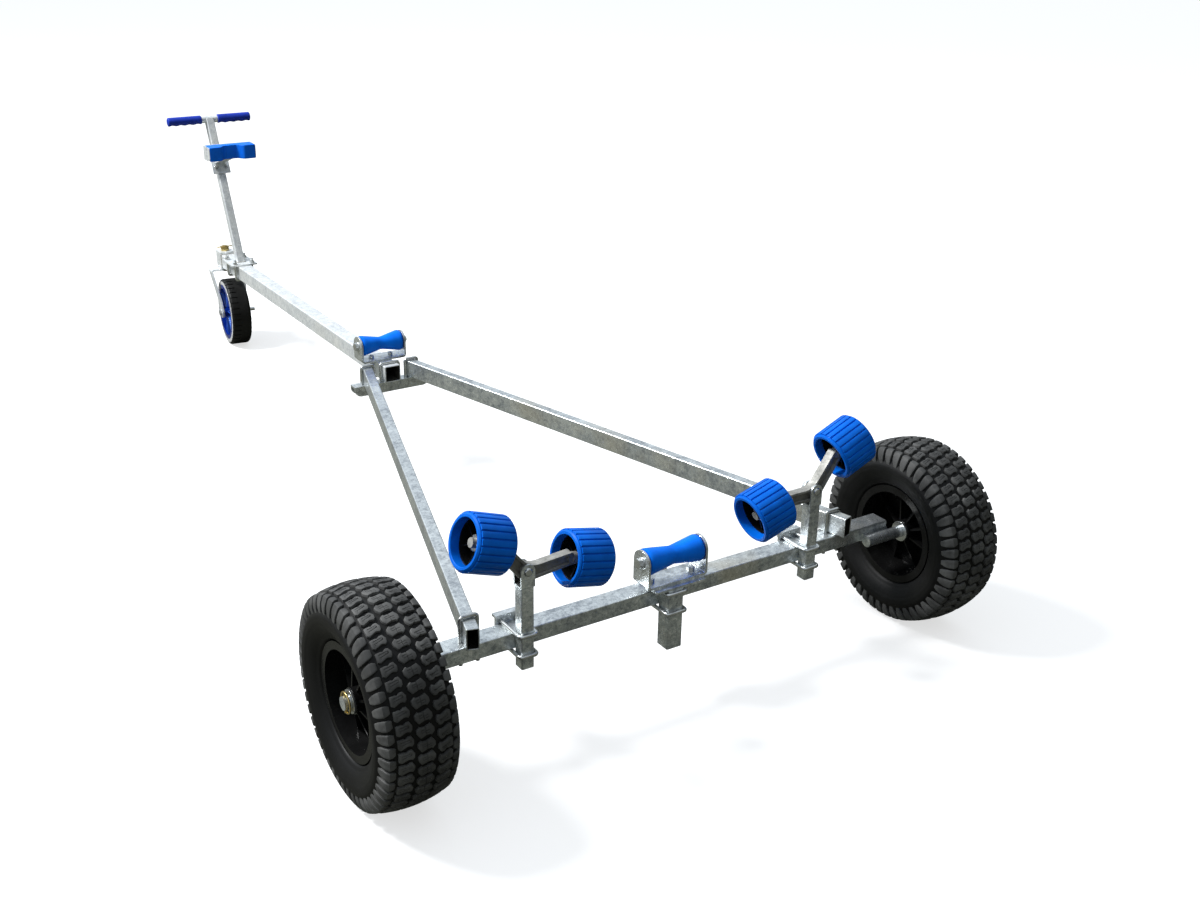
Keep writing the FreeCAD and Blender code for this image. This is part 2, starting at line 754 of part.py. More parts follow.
def keel_bracket(y, base_z, rise, half, bolt_x, bolt_radius):
    """A plate bent up at both ends into round-topped ears beside a roller."""
    i = half + ear_gap
    o = i + bracket_plate
    top = base_z + rise + ear_width / 2
    floor = base_z + bracket_plate
    section = rounded([V(-o, y, base_z), V(o, y, base_z), V(o, y, top), V(i, y, top),
                       V(i, y, floor), V(-i, y, floor), V(-i, y, top), V(-o, y, top)],
                      [ear_bend + bracket_plate, ear_bend + bracket_plate, 0, 0,
                       ear_bend, ear_bend, 0, 0])
    bent = section.extrude(Y * ear_width).translated(Y * (-ear_width / 2))
    a = ear_width / 2
    side = rounded([V(-2 * o, y - a, base_z), V(-2 * o, y + a, base_z),
                    V(-2 * o, y + a, top), V(-2 * o, y - a, top)],
                   [0, 0, a - rod_slack, a - rod_slack])
    bent = bent.common(side.extrude(X * (4 * o)))
    bent = bent.cut(rod(V(-2 * o, y, base_z + rise), V(2 * o, y, base_z + rise),
                        keel_bore_radius))
    for x in (-bolt_x, bolt_x):
        bent = bent.cut(rod(V(x, y, base_z - bracket_plate), V(x, y, floor + bracket_plate),
                            bolt_radius + hole_slack))
    return bent


def keel_pin(y, z, half):
    """The bolt that carries a keel roller, with its head and nut."""
    face = half + ear_gap + bracket_plate
    seat = face + pin_washer_height
    return fuse([rod(V(-seat, y, z), V(seat + keel_pin_spare, y, z), keel_bore_radius),
                 rod(V(-seat, y, z), V(-face, y, z), pin_washer_rim),
                 rod(V(face, y, z), V(seat, y, z), pin_washer_rim),
                 hexagon(V(-seat, y, z), -X, pin_head_height, pin_head_flats),
                 hexagon(V(seat, y, z), X, pin_head_height, pin_head_flats)])


bore = keel_bore_radius + running_gap
rear_z = keel_rear_base + keel_pin_rise
front_z = spine_top + keel_front_rise
front_bolt_x = spine_half + rod_slack
parts["keel_bracket_rear"] = keel_bracket(keel_rear_y, keel_rear_base, keel_pin_rise,
                                          keel_rear_half, base_bolt_x, base_bolt_radius)
parts["keel_pin_rear"] = keel_pin(keel_rear_y, rear_z, keel_rear_half)
edge = keel_end_radius - keel_edge
parts["keel_roller_rear"] = turned(
    [(-keel_rear_half, bore), (-keel_rear_half, edge),
     (keel_edge - keel_rear_half, keel_end_radius),
     ((0, keel_waist_radius), (keel_rear_half - keel_edge, keel_end_radius)),
     (keel_rear_half, edge), (keel_rear_half, bore)],
    V(0, keel_rear_y, rear_z))
parts["keel_bracket_front"] = keel_bracket(keel_front_y, spine_top, keel_front_rise,
                                           keel_front_half, front_bolt_x, rod_radius)
base_far = spine_top + bracket_plate - (apex_top - rod_radius)
parts["keel_clamp_front"] = u_bolt(V(0, keel_front_y, apex_top - rod_radius), X, Z, front_bolt_x,
                                   base_far + nut_height + short_spare, base_far)
parts["keel_pin_front"] = keel_pin(keel_front_y, front_z, keel_front_half)
parts["keel_roller_front"] = turned(
    [(-keel_front_half, bore), (-keel_front_half, edge),
     (keel_edge - keel_front_half, keel_end_radius), (0, keel_front_waist),
     (keel_front_half - keel_edge, keel_end_radius), (keel_front_half, edge),
     (keel_front_half, bore)],
    V(0, keel_front_y, front_z))


# Main wheels

def crown(x):
    """The tyre's radius at a place across its crown, which is an arc."""
    reach = shoulder_width_share * tyre_width / 2
    drop = wheel_radius * (1 - shoulder_radius_share)
    bow = (reach ** 2 + drop ** 2) / (2 * drop)
    return wheel_radius - bow + math.sqrt(bow ** 2 - x ** 2)


def tread_cutter(outline, angle, centre):
    """A slot across the tread: an outline of (along, radius) pairs, one groove wide."""
    out = Y * math.cos(angle) + Z * math.sin(angle)
    side = X.cross(out) * (tread_groove / 2)
    points = [frame_point(centre, X, out, *pair) - side for pair in outline]
    return flat(points).extrude(side * 2)


def make_tyre():
    """The right tyre: three rows of blocks between two rows of lugs that run down
    over the shoulders."""
    w = tyre_width / 2
    seat = rim_half_width - rim_lip_thick
    shoulder_x = shoulder_width_share * w
    shoulder = (shoulder_x, wheel_radius * shoulder_radius_share)
    waist = wheel_radius * sidewall_share
    centre = V(wheel_x, 0, wheel_radius)
    half = tread_groove / 2
    outline = [(-seat, rim_seat_radius), (-seat, rim_lip_radius),
               ((-w, waist), (-shoulder[0], shoulder[1]))]
    start = -shoulder_x
    grooves = [-groove_outer_x, -groove_inner_x, groove_inner_x, groove_outer_x]
    for groove in grooves:
        stop = groove - half
        middle = (start + stop) / 2
        outline.append(((middle, crown(middle)), (stop, crown(stop))))
        outline.append((stop, crown(stop) - tread_depth))
        start = groove + half
        outline.append((start, crown(start) - tread_depth))
        outline.append((start, crown(start)))
    middle = (start + shoulder_x) / 2
    outline.append(((middle, crown(middle)), shoulder))
    outline += [((w, waist), (seat, rim_lip_radius)), (seat, rim_seat_radius)]
    body = turned(outline, centre)
    over = wheel_radius + tread_depth
    lug_foot = wheel_radius * lug_foot_share
    cutters = []
    for k in range(tread_count):
        whole = 2 * math.pi * k / tread_count
        staggered = whole + math.pi / tread_count
        for row, (left, right) in enumerate(zip(grooves, grooves[1:])):
            floor = min(crown(left), crown(right)) - tread_depth
            slot = [(left, floor), (right, floor), (right, over), (left, over)]
            cutters.append(tread_cutter(slot, whole if row == 1 else staggered, centre))
        for side in (-1, 1):
            slot = [(side * groove_outer_x, crown(groove_outer_x) - tread_depth),
                    (side * (shoulder_x - lug_depth), shoulder[1] - lug_depth),
                    (side * (w - lug_depth), lug_foot), (side * (w + lug_depth), lug_foot),
                    (side * (w + lug_depth), over), (side * groove_outer_x, over)]
            cutters.append(tread_cutter(slot, whole, centre))
    return body.cut(cutters)


def make_rim():
    """The right rim: barrel with lips, web, hub and radial ribs on both sides."""
    centre = V(wheel_x, 0, wheel_radius)
    lip = rim_half_width
    seat = lip - rim_lip_thick
    inner = rim_seat_radius - rim_wall
    web0 = rim_web_offset - rim_web_thick / 2
    web1 = rim_web_offset + rim_web_thick / 2
    hub0, hub1 = hub_inner_x - wheel_x, hub_outer_x - wheel_x
    bore_radius = axle_radius + running_gap
    body = turned([(-lip, inner), (-lip, rim_lip_radius), (-seat, rim_lip_radius),
                   (-seat, rim_seat_radius), (seat, rim_seat_radius), (seat, rim_lip_radius),
                   (lip, rim_lip_radius), (lip, inner), (web1, inner - rim_wall),
                   (web1, hub_radius), (hub1, hub_radius), (hub1, bore_radius),
                   (hub0, bore_radius), (hub0, hub_radius), (web0, hub_radius),
                   (web0, inner - rim_wall)], centre)
    ribs = []
    for k in range(rim_rib_count):
        t = 2 * math.pi * (k + 0.5) / rim_rib_count
        out = Y * math.cos(t) + Z * math.sin(t)
        side = X.cross(out)
        a = side * (rim_rib_thick / 2)
        inner_rib = [(hub0 + rim_wall, hub_radius - rim_wall), (web1, hub_radius - rim_wall),
                     (hub1 - rim_wall, hub_radius - rim_wall), (hub1 - rim_wall, hub_radius),
                     (web1 + 2 * rim_wall, inner), (web0 - 2 * rim_wall, inner),
                     (hub0 + rim_wall, hub_radius)]
        points = [frame_point(centre, X, out, *pair) - a for pair in inner_rib]
        ribs.append(flat(points).extrude(a * 2))
    return fuse([body] + ribs)


tyre, rim = make_tyre(), make_rim()
parts["tyre_right"], parts["rim_right"] = tyre, rim
parts["tyre_left"], parts["rim_left"] = mirrored(tyre), mirrored(rim)

# Mast on its foot plate, with the round handle bar across its top
foot_y = mast_foot_y + foot_ahead
foot = box(-foot_half, foot_half, foot_y - foot_depth / 2, foot_y + foot_depth / 2,
           spine_top, foot_top)
foot_bolts = [foot_y - foot_bolt_y, foot_y + foot_bolt_y]
for side in (-1, 1):
    for y in foot_bolts:
        foot = foot.cut(Part.makeCylinder(rod_radius + hole_slack, 3 * plate_thick,
                                          V(side * foot_bolt_x, y, spine_top - plate_thick)))
mast_start = mast_base - mast_dir * mast_size
mast = tube(mast_start, mast_dir, mast_length + mast_size, X, mast_normal, mast_size, mast_size,
            mast_wall)
mast = mast.cut(box(-foot_half, foot_half, mast_foot_y - foot_depth, mast_foot_y + foot_depth,
                    spine_top - foot_depth, foot_top))
bar = rod(mast_head - X * bar_half, mast_head + X * bar_half, bar_radius)
mast = mast.cut(bar)
parts["mast"] = mast
parts["handle_bar"] = bar
parts["mast_foot"] = foot
foot_reach = foot_top - (apex_top - rod_radius)
parts["foot_clamp"] = Part.makeCompound([
    u_bolt(V(0, y, apex_top - rod_radius), X, Z, foot_bolt_x,
           foot_reach + nut_height + thread_spare, foot_reach) for y in foot_bolts])


def make_grip():
    """The right grip, a sleeve with finger hollows along its under side."""
    start = mast_head + X * (bar_half + grip_cap - grip_length)
    sleeve = turned([(0, bar_radius), (0, grip_radius), (grip_length, grip_radius),
                     (grip_length, 0), (grip_length - grip_cap, 0),
                     (grip_length - grip_cap, bar_radius)], start)
    pitch = grip_length / (grip_waves + 1)
    reach = pitch * grip_wave_share / 2
    bend = (reach ** 2 + grip_wave_depth ** 2) / (2 * grip_wave_depth)
    hollows = []
    for k in range(grip_waves):
        along = X * (pitch * (k + 1))
        middle = start + along - Z * (grip_radius + bend - grip_wave_depth)
        hollows.append(rod(middle - Y * (2 * grip_radius), middle + Y * (2 * grip_radius), bend))
    return sleeve.cut(hollows)


grip = make_grip()
parts["grips"] = Part.makeCompound([grip, mirrored(grip)])


# Bow chock on a bent strap that is clamped to the mast

def make_chock_bracket():
    """A strap from the mast's back face, up and back to the chock."""
    place = mast_base + mast_dir * (mast_length * clamp_station_share)
    back = place - mast_normal * (mast_size / 2)
    low = back - mast_dir * (chock_plate_height / 2)
    high = back + mast_dir * (chock_plate_height / 2)
    t = plate_thick
    plate = flat([low - X * (chock_plate_width / 2), low + X * (chock_plate_width / 2),
                  high + X * (chock_plate_width / 2), high - X * (chock_plate_width / 2)])
    plate = plate.extrude(mast_normal * -t)
    front = chock_y + chock_depth / 2
    top = chock_z + chock_height / 2
    knee = chock_z - chock_height / 2
    outline = [high, V(0, front + t, knee), V(0, front + t, top), V(0, front, top),
               V(0, front, knee - t), high - mast_normal * t - mast_dir * (2 * t)]
    strap = flat([p - X * (chock_strap_width / 2) for p in outline])
    strap = strap.extrude(X * chock_strap_width)
    end = chock_half + chock_steel
    cradle = box(-end, end, front - chock_depth / 2, front + chock_steel, knee, top)
    cradle = cradle.cut(box(-chock_half, chock_half, chock_y - chock_depth, front, knee, top))
    whole = fuse([plate, strap, cradle])
    half = mast_size / 2 + rod_step
    for side in (-1, 1):
        hole = place + X * (side * half)
        whole = whole.cut(rod(hole - mast_normal * (2 * mast_size), hole, rod_radius + hole_slack))
    clamp_back = place + mast_normal * (mast_size / 2 + rod_radius)
    far = mast_size + rod_radius + t
    clamp = u_bolt(clamp_back, X, mast_normal * -1, half, far + nut_height + thread_spare, far)
    return whole, clamp


chock_bracket, chock_clamp = make_chock_bracket()
parts["chock_bracket"] = chock_bracket
parts["chock_clamp"] = chock_clamp
chock_front = chock_y + chock_depth / 2
chock_back = chock_y - chock_depth / 2
chock_low = chock_z - chock_height / 2
hollow = chock_half - chock_pad
chock_face = rounded([V(-chock_half, chock_front, chock_low), V(-chock_half, chock_back, chock_low),
                      V(-hollow, chock_back, chock_low),
                      V(chock_blend - hollow, chock_back + chock_recess, chock_low),
                      V(hollow - chock_blend, chock_back + chock_recess, chock_low),
                      V(hollow, chock_back, chock_low), V(chock_half, chock_back, chock_low),
                      V(chock_half, chock_front, chock_low)],
                     [0, grip_wave_depth, chock_round, chock_round, chock_round, chock_round,
                      grip_wave_depth, 0])
parts["bow_chock"] = chock_face.extrude(Z * chock_height)

# Head of the front caster, welded to the end of the spine
head = tube(V(0, head_y, apex_top), Z, head_length, X, Y, head_size, head_size, head_wall,
            head_corner)
for low in (apex_top, apex_top + head_length - head_wall):
    head = head.fuse(box(head_wall - head_size / 2, head_size / 2 - head_wall,
                         spine_front_y + head_wall, spine_front_y + head_size - head_wall,
                         low, low + head_wall))
head = head.removeSplitter()
king_bottom = apex_top - washer_gap - caster_washer_thick - fork_thick
head = head.cut(rod(V(0, head_y, 0), V(0, head_y, 4 * caster_radius), kingpin_radius))
parts["caster_head"] = head
head_top = apex_top + head_length
cotter_z = head_top + kingpin_nut_height - kingpin_cotter
parts["kingpin"] = fuse([
    rod(V(0, head_y, king_bottom - kingpin_head), V(0, head_y, king_bottom), kingpin_head_radius),
    rod(V(0, head_y, king_bottom), V(0, head_y, head_top + kingpin_nut_height + kingpin_spare),
        kingpin_radius),
    hexagon(V(0, head_y, head_top), Z, kingpin_nut_height, kingpin_nut_flats),
    rod(V(-kingpin_cotter_half, head_y, cotter_z), V(kingpin_cotter_half, head_y, cotter_z),
        kingpin_cotter)])


# Caster fork and wheel

def make_fork():
    """A flat bar bent over the wheel: its legs close in to the axle and lean back to it."""
    inner = caster_width / 2 + fork_gap
    outer = inner + fork_thick
    top = king_bottom + fork_thick
    knee = caster_radius + fork_knee
    foot = caster_radius - fork_width
    slope = (fork_spread - outer) / (top - knee)
    under = inner + slope * (king_bottom - knee)
    section = rounded([V(-fork_spread, 0, top), V(fork_spread, 0, top), V(outer, 0, knee),
                       V(outer, 0, foot), V(inner, 0, foot), V(inner, 0, knee),
                       V(under, 0, king_bottom), V(-under, 0, king_bottom), V(-inner, 0, knee),
                       V(-inner, 0, foot), V(-outer, 0, foot), V(-outer, 0, knee)],
                      [fork_bend, fork_bend, 0, 0, 0, 0, fork_bend - fork_thick,
                       fork_bend - fork_thick, 0, 0, 0, 0])
    bent = section.extrude(Y * (head_y + fork_width))
    drop = top - caster_radius
    lean = math.atan2(caster_trail, drop)
    half = fork_width / 2
    eye = half * math.cos(lean)
    run = V(0, -math.sin(lean), -math.cos(lean))
    across = V(0, math.cos(lean), -math.sin(lean))
    axle = V(-fork_spread, caster_y, caster_radius)
    profile = rounded([V(-fork_spread, head_y - half, top), V(-fork_spread, head_y + half, top),
                       axle + across * eye + run * eye, axle - across * eye + run * eye],
                      [0, 0, eye - rod_slack, eye - rod_slack])
    whole = bent.common(profile.extrude(X * (2 * fork_spread)))
    washer = rod(V(0, head_y, top), V(0, head_y, apex_top - washer_gap), washer_radius)
    whole = fuse([whole, washer])
    whole = whole.cut(rod(V(0, head_y, 0), V(0, head_y, head_top), kingpin_radius + running_gap))
    far_side = X * (2 * fork_spread)
    return whole.cut(rod(axle, axle + far_side, caster_axle_radius)), outer


fork, fork_out = make_fork()
parts["caster_fork"] = fork
parts["caster_axle"] = fuse([
    rod(V(-fork_out, caster_y, caster_radius),
        V(fork_out + nut_height + 2 * thread_spare, caster_y, caster_radius), caster_axle_radius),
    hexagon(V(-fork_out, caster_y, caster_radius), -X, nut_height, 3 * caster_axle_radius),
    hexagon(V(fork_out, caster_y, caster_radius), X, nut_height, 3 * caster_axle_radius)])
caster_centre = V(0, caster_y, caster_radius)
cw = caster_width / 2
near, far = caster_crown_shares
high, low = caster_shoulder_shares
caster_tyre = turned(
    [(-cw, caster_rim_radius), (-cw, caster_radius * low),
     ((-cw * far, caster_radius * high), (-cw * near, caster_radius)), (cw * near, caster_radius),
     ((cw * far, caster_radius * high), (cw, caster_radius * low)), (cw, caster_rim_radius)],
    caster_centre)
notch_floor = caster_radius - caster_notch_depth
notch_end = cw * (2 * caster_notch_share - 1)
notches = []
for k in range(caster_notch_count):
    angle = 2 * math.pi * k / caster_notch_count
    out = Y * math.cos(angle) + Z * math.sin(angle)
    side = X.cross(out) * (caster_notch_width / 2)
    pairs = [(-2 * cw, notch_floor - caster_notch_depth), (-cw, notch_floor - caster_notch_depth),
             (-cw * near, notch_floor), (notch_end, notch_floor),
             (notch_end + caster_notch_depth, caster_radius + caster_notch_depth),
             (-2 * cw, caster_radius + caster_notch_depth)]
    points = [frame_point(caster_centre, X, out, *pair) - side for pair in pairs]
    notches.append(flat(points).extrude(side * 2))
parts["caster_tyre"] = caster_tyre.cut(notches)


def make_caster_rim():
    """A ring, a thin web and a hub, with ribs on both faces."""
    inner = caster_rim_radius - caster_rim_wall
    bore_radius = caster_axle_radius + running_gap
    web = fork_thick / 2
    hub = cw + fork_gap / 2
    body = turned([(-cw, inner), (-cw, caster_rim_radius), (cw, caster_rim_radius), (cw, inner),
                   (web, inner), (web, caster_hub_radius), (hub, caster_hub_radius),
                   (hub, bore_radius), (-hub, bore_radius), (-hub, caster_hub_radius),
                   (-web, caster_hub_radius), (-web, inner)], caster_centre)
    ribs = []
    depth = cw * caster_rib_share
    for k in range(caster_rib_count):
        t = 2 * math.pi * k / caster_rib_count
        out = Y * math.cos(t) + Z * math.sin(t)
        a = X.cross(out) * (fork_thick / 2)
        pairs = [(-depth, caster_hub_radius - fork_thick), (depth, caster_hub_radius - fork_thick),
                 (depth, inner), (-depth, inner)]
        points = [frame_point(caster_centre, X, out, *pair) - a for pair in pairs]
        ribs.append(flat(points).extrude(a * 2))
    whole = fuse([body] + ribs)
    return whole.cut(rod(caster_centre - X * (2 * hub), caster_centre + X * (2 * hub), bore_radius))


parts["caster_rim"] = make_caster_rim()
for name in ("caster_fork", "caster_axle", "caster_tyre", "caster_rim"):
    parts[name] = parts[name].rotated(V(0, head_y, 0), Z, -caster_park_turn)

# The origin goes to the ground at the middle of the length
front_y = mast_head.y + grip_radius
to_middle = V(0, (wheel_radius - front_y) / 2, 0)
os.makedirs("parts", exist_ok=True)
for name, shape in parts.items():
    shape.translated(to_middle).exportStep("parts/" + name + ".step")
print(len(parts), "parts")
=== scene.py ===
# %% [markdown]
# # A hand trolley for launching a small boat
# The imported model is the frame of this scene. It holds every tube, clamp, roller and wheel at
# its real size, in metres, with +X to the right, +Y forward to the handle and +Z up. This
# lesson gives each of them its finish and rounds the edges of the steel. It models again the
# pieces whose look needs more than a plain solid: the tyres, the rollers, the bow chock, the
# grips and the caster's rim. Weld beads and threads are added.

# %% Load the frame and keep its box
import json
import math

import bmesh
import bpy
from mathutils import Matrix, Vector


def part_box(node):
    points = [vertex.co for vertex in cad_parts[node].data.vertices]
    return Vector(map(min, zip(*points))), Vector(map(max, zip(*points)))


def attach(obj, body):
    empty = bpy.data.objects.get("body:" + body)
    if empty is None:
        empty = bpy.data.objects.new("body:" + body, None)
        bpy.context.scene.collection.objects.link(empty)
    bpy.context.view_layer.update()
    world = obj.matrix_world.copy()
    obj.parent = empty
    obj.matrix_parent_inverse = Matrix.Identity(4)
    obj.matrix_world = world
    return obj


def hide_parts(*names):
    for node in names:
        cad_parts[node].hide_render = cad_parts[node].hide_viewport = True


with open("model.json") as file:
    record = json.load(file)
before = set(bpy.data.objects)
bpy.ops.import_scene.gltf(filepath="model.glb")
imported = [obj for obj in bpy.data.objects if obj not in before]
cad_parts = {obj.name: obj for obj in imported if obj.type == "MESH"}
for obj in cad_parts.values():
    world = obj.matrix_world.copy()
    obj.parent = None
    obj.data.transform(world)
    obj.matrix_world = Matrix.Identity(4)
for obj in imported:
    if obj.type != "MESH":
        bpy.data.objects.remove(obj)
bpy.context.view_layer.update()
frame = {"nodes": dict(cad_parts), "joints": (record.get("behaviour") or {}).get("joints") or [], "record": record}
nodes = frame["nodes"]
X, Y, Z = Vector((1, 0, 0)), Vector((0, 1, 0)), Vector((0, 0, 1))

# %% [markdown]
# ## The camera
# The picture was taken from behind the left wheel, at the eye height of someone who stands
# there. A camera could be moved by hand until the view looks right, but numbers are easier
# to check: where it stands, and three turns, for how far it looks round from straight ahead,
# how far down, and how much it leans. The lens follows from the focal length in pixels.

# %% Place the camera
camera_place = Vector((-1.4262, -3.1320, 1.5175))
camera_turn, camera_down, camera_lean = 0.58, 0.40, 0.019
focal_pixels, picture_width, sensor_width, farthest = 1385.6, 1200, 36.0, 100.0
ahead = Vector((math.sin(camera_turn) * math.cos(camera_down),
                math.cos(camera_turn) * math.cos(camera_down), -math.sin(camera_down)))
level = ahead.cross(Z).normalized()
rise = level.cross(ahead)
right = level * math.cos(camera_lean) + rise * math.sin(camera_lean)
top = rise * math.cos(camera_lean) - level * math.sin(camera_lean)
camera_data = bpy.data.cameras.new("camera")
camera_data.sensor_width = sensor_width
camera_data.lens = focal_pixels / picture_width * sensor_width
camera_data.clip_end = farthest
camera = bpy.data.objects.new("camera", camera_data)
bpy.context.scene.collection.objects.link(camera)
facing = Matrix((right, top, -ahead)).transposed().to_4x4()
camera.matrix_world = Matrix.Translation(camera_place) @ facing
bpy.context.scene.camera = camera
print("lens:", round(camera_data.lens, 2), "mm")

# %% [markdown]
# ## Shader maths in plain Python
# A material is a small machine of nodes. Wiring one by hand takes many lines, so a socket is
# wrapped in a class that understands plus, minus and times, from either side. One more
# method makes any other node: its settings are set first, then its sockets are given values
# or wires. The same method serves the sky at the end.

# %% Wrap a socket
class Wire:
    """An output socket that Python arithmetic can use."""

    def __init__(self, wiring, socket):
        self.wiring = wiring
        self.socket = socket

    def maths(self, operation, first, second):
        return self.wiring.node("ShaderNodeMath", {"operation": operation},
                                {0: first, 1: second})

    def __add__(self, other):
        return self.maths("ADD", self, other)

    def __radd__(self, other):
        return self.maths("ADD", other, self)

    def __sub__(self, other):
        return self.maths("SUBTRACT", self, other)

    def __rsub__(self, other):
        return self.maths("SUBTRACT", other, self)

    def __mul__(self, other):
        return self.maths("MULTIPLY", self, other)

    def __rmul__(self, other):
        return self.maths("MULTIPLY", other, self)


print("wires can be added, subtracted and multiplied")

# %% Make and join the nodes of one tree
class Wiring:
    """The nodes of one tree, made and joined by short calls."""

    def __init__(self, tree):
        self.tree = tree

    def node(self, kind, settings=None, sockets=None, output=0):
        new = self.tree.nodes.new(kind)
        for key, value in (settings or {}).items():
            setattr(new, key, value)
        for key, value in (sockets or {}).items():
            self.feed(new.inputs[key], value)
        return Wire(self, new.outputs[output])

    def feed(self, socket, value):
        if isinstance(value, Wire):
            self.tree.links.new(value.socket, socket)
        else:
            socket.default_value = value

    def mix(self, factor, first, second):
        """A colour between two, by a factor."""
        return self.node("ShaderNodeMix", {"data_type": "RGBA"},
                         {0: factor, 6: first, 7: second}, 2)


def rgb(red, green, blue):
    return (red, green, blue, 1.0)


print("a colour with its alpha:", rgb(0.5, 0.5, 0.5))

# %% Start a finish and give it patterns
class Finish(Wiring):
    """A material with a Principled shader, and short ways to feed it."""

    def __init__(self, name):
        self.material = bpy.data.materials.new(name)
        self.material.use_nodes = True
        super().__init__(self.material.node_tree)
        self.shader = self.tree.nodes["Principled BSDF"]
        self.place = self.node("ShaderNodeTexCoord", output="Object")

    def set(self, **values):
        for key, value in values.items():
            self.feed(self.shader.inputs[key.replace("_", " ")], value)

    def noise(self, scale, detail=3.0, roughness=0.5):
        return self.node("ShaderNodeTexNoise", None,
                         {"Vector": self.place, "Scale": scale, "Detail": detail,
                          "Roughness": roughness})

    def cells(self, scale):
        """A random number for each cell of a pattern, like the flakes of zinc."""
        flakes = self.node("ShaderNodeTexVoronoi", None,
                           {"Vector": self.place, "Scale": scale}, "Color")
        return self.node("ShaderNodeSeparateColor", None, {"Color": flakes}, "Red")

    def between(self, value, low, high):
        """0 below low, 1 above high, and a straight ramp between them."""
        return self.node("ShaderNodeMapRange", None,
                         {"Value": value, "From Min": low, "From Max": high}, "Result")

    def bump(self, height, distance, strength):
        normal = self.node("ShaderNodeBump", None,
                           {"Height": height, "Distance": distance, "Strength": strength},
                           "Normal")
        self.set(Normal=normal)


print("a finish reads places from the object itself")

# %% [markdown]
# ## Galvanised steel
# Steel dipped in molten zinc comes out mottled: cloudy patches where the zinc ran, small
# streaks in them, a fine grain and small flakes. A picture could be wrapped round the tubes,
# but it would stretch and repeat. Noises of several sizes fill the space that a tube stands
# in, so they fit any shape. Zinc is mostly metal, so a face shows what lies opposite it, the
# sky on top and the dark ground behind. The mottling changes the roughness too, and that is
# what makes it glint. Inside a tube and in a rocker's recesses, a face attribute paints shade
# onto the steel: a dark colour stands in for the shade there.

# %% Write the recipe for zinc
cloud_scale, streak_scale, grain_scale, flake_scale, stain_scale = 13.0, 70.0, 480.0, 260.0, 3.2
cloud_share, streak_share, grain_share, flake_share = 0.28, 0.47, 0.18, 0.07
mottle_spread, gloss_change, painted_shade_share = 0.11, 0.16, 0.5
stain_low, stain_high, stain_colour = 0.56, 0.72, (0.66, 0.56, 0.38)
# The colour of the painted shade inside tubes and in the recesses of the rockers.
painted_shade_colour = (0.10, 0.10, 0.085)


def zinc(name, dark, light, metallic, rough, warm=0.0, contrast=1.0):
    """A mottled zinc skin: clouds, streaks, grain, on some parts a few warm stains, and painted shade in the
    marked hollows.
    """
    finish = Finish(name)
    clouds = finish.noise(cloud_scale, 5.0, 0.6)
    streaks = finish.noise(streak_scale, 6.0, 0.7)
    grain = finish.noise(grain_scale, 3.0, 0.6)
    tone = (clouds * cloud_share + streaks * streak_share + grain * grain_share
            + finish.cells(flake_scale) * flake_share)
    spread = mottle_spread / contrast
    mottle = finish.between(tone, 0.5 - spread, 0.5 + spread)
    colour = finish.mix(mottle, rgb(*dark), rgb(*light))
    if warm:
        stain = finish.between(finish.noise(stain_scale, 3.0, 0.7), stain_low, stain_high)
        colour = finish.mix(stain * warm, colour, rgb(*stain_colour))
    # Painted shade: faces marked by the attribute are darkened by colour, not by light.
    hollow = finish.node("ShaderNodeAttribute", {"attribute_name": "hollow"}, None, "Fac")
    colour = finish.mix(hollow * painted_shade_share, colour, rgb(*painted_shade_colour))
    finish.set(Base_Color=colour, Metallic=metallic,
               Roughness=rough + gloss_change - mottle * gloss_change)
    finish.bump(streaks + grain * 0.35, distance=0.0007, strength=0.4)
    return finish.material


print("clouds, streaks and grain are about", round(1000 / cloud_scale),
      round(1000 / streak_scale), "and", round(1000 / grain_scale), "mm wide")

# %% Mix the zinc finishes
tube_zinc = zinc("galvanised_tube", (0.36, 0.39, 0.42), (0.96, 1.0, 1.0),
                 metallic=0.86, rough=0.24, warm=0.45, contrast=1.15)
plate_zinc = zinc("galvanised_plate", (0.38, 0.40, 0.41), (0.92, 0.96, 0.97),
                  metallic=0.88, rough=0.20, contrast=1.1)
cast_zinc = zinc("galvanised_casting", (0.25, 0.25, 0.23), (0.50, 0.49, 0.46),
                 metallic=0.60, rough=0.60, contrast=0.9)
# Painted light: a paler copy of the tube zinc, for parts that look nearly white where the light falls on them.
painted_bright_zinc = zinc("galvanised_pale", (0.60, 0.63, 0.65), (0.98, 1.0, 1.0),
                 metallic=0.52, rough=0.31, warm=0.12, contrast=1.1)
bright_zinc = zinc("bright_zinc", (0.46, 0.47, 0.46), (0.78, 0.80, 0.80),
                   metallic=0.93, rough=0.16, contrast=0.7)
gold_zinc = zinc("yellow_zinc", (0.52, 0.38, 0.14), (0.86, 0.68, 0.30),
                 metallic=0.95, rough=0.14, contrast=0.6)
print("materials so far:", [material.name for material in bpy.data.materials])

# %% [markdown]
# ## Rubber and plastic
# The tyres are dull black with a trace of grey bloom. The rims and the roller cores are
# glossy black. The rollers are cast in a deep, clean blue that is slightly uneven where the
# plastic flowed, with a soft sheen. One flat colour would look like paint, so each finish
# goes between two near colours by a noise, and a fine bump breaks up the reflections.

# %% Write the recipes for rubber and plastic
dust_scale, rubber_grain_scale, rubber_grain_high = 14.0, 900.0, 0.0003
plastic_grain_scale, plastic_grain_high, coat_rough = 420.0, 0.0004, 0.12


def rubber(name, dark, bloom, rough, grain):
    finish = Finish(name)
    dust = finish.between(finish.noise(dust_scale, 5.0, 0.65), 0.45, 0.8)
    fine = finish.noise(rubber_grain_scale, 2.0)
    finish.set(Base_Color=finish.mix(dust, rgb(*dark), rgb(*bloom)),
               Roughness=dust * 0.12 + fine * 0.1 + rough, Specular_IOR_Level=0.22)
    finish.bump(fine, rubber_grain_high, grain)
    return finish.material


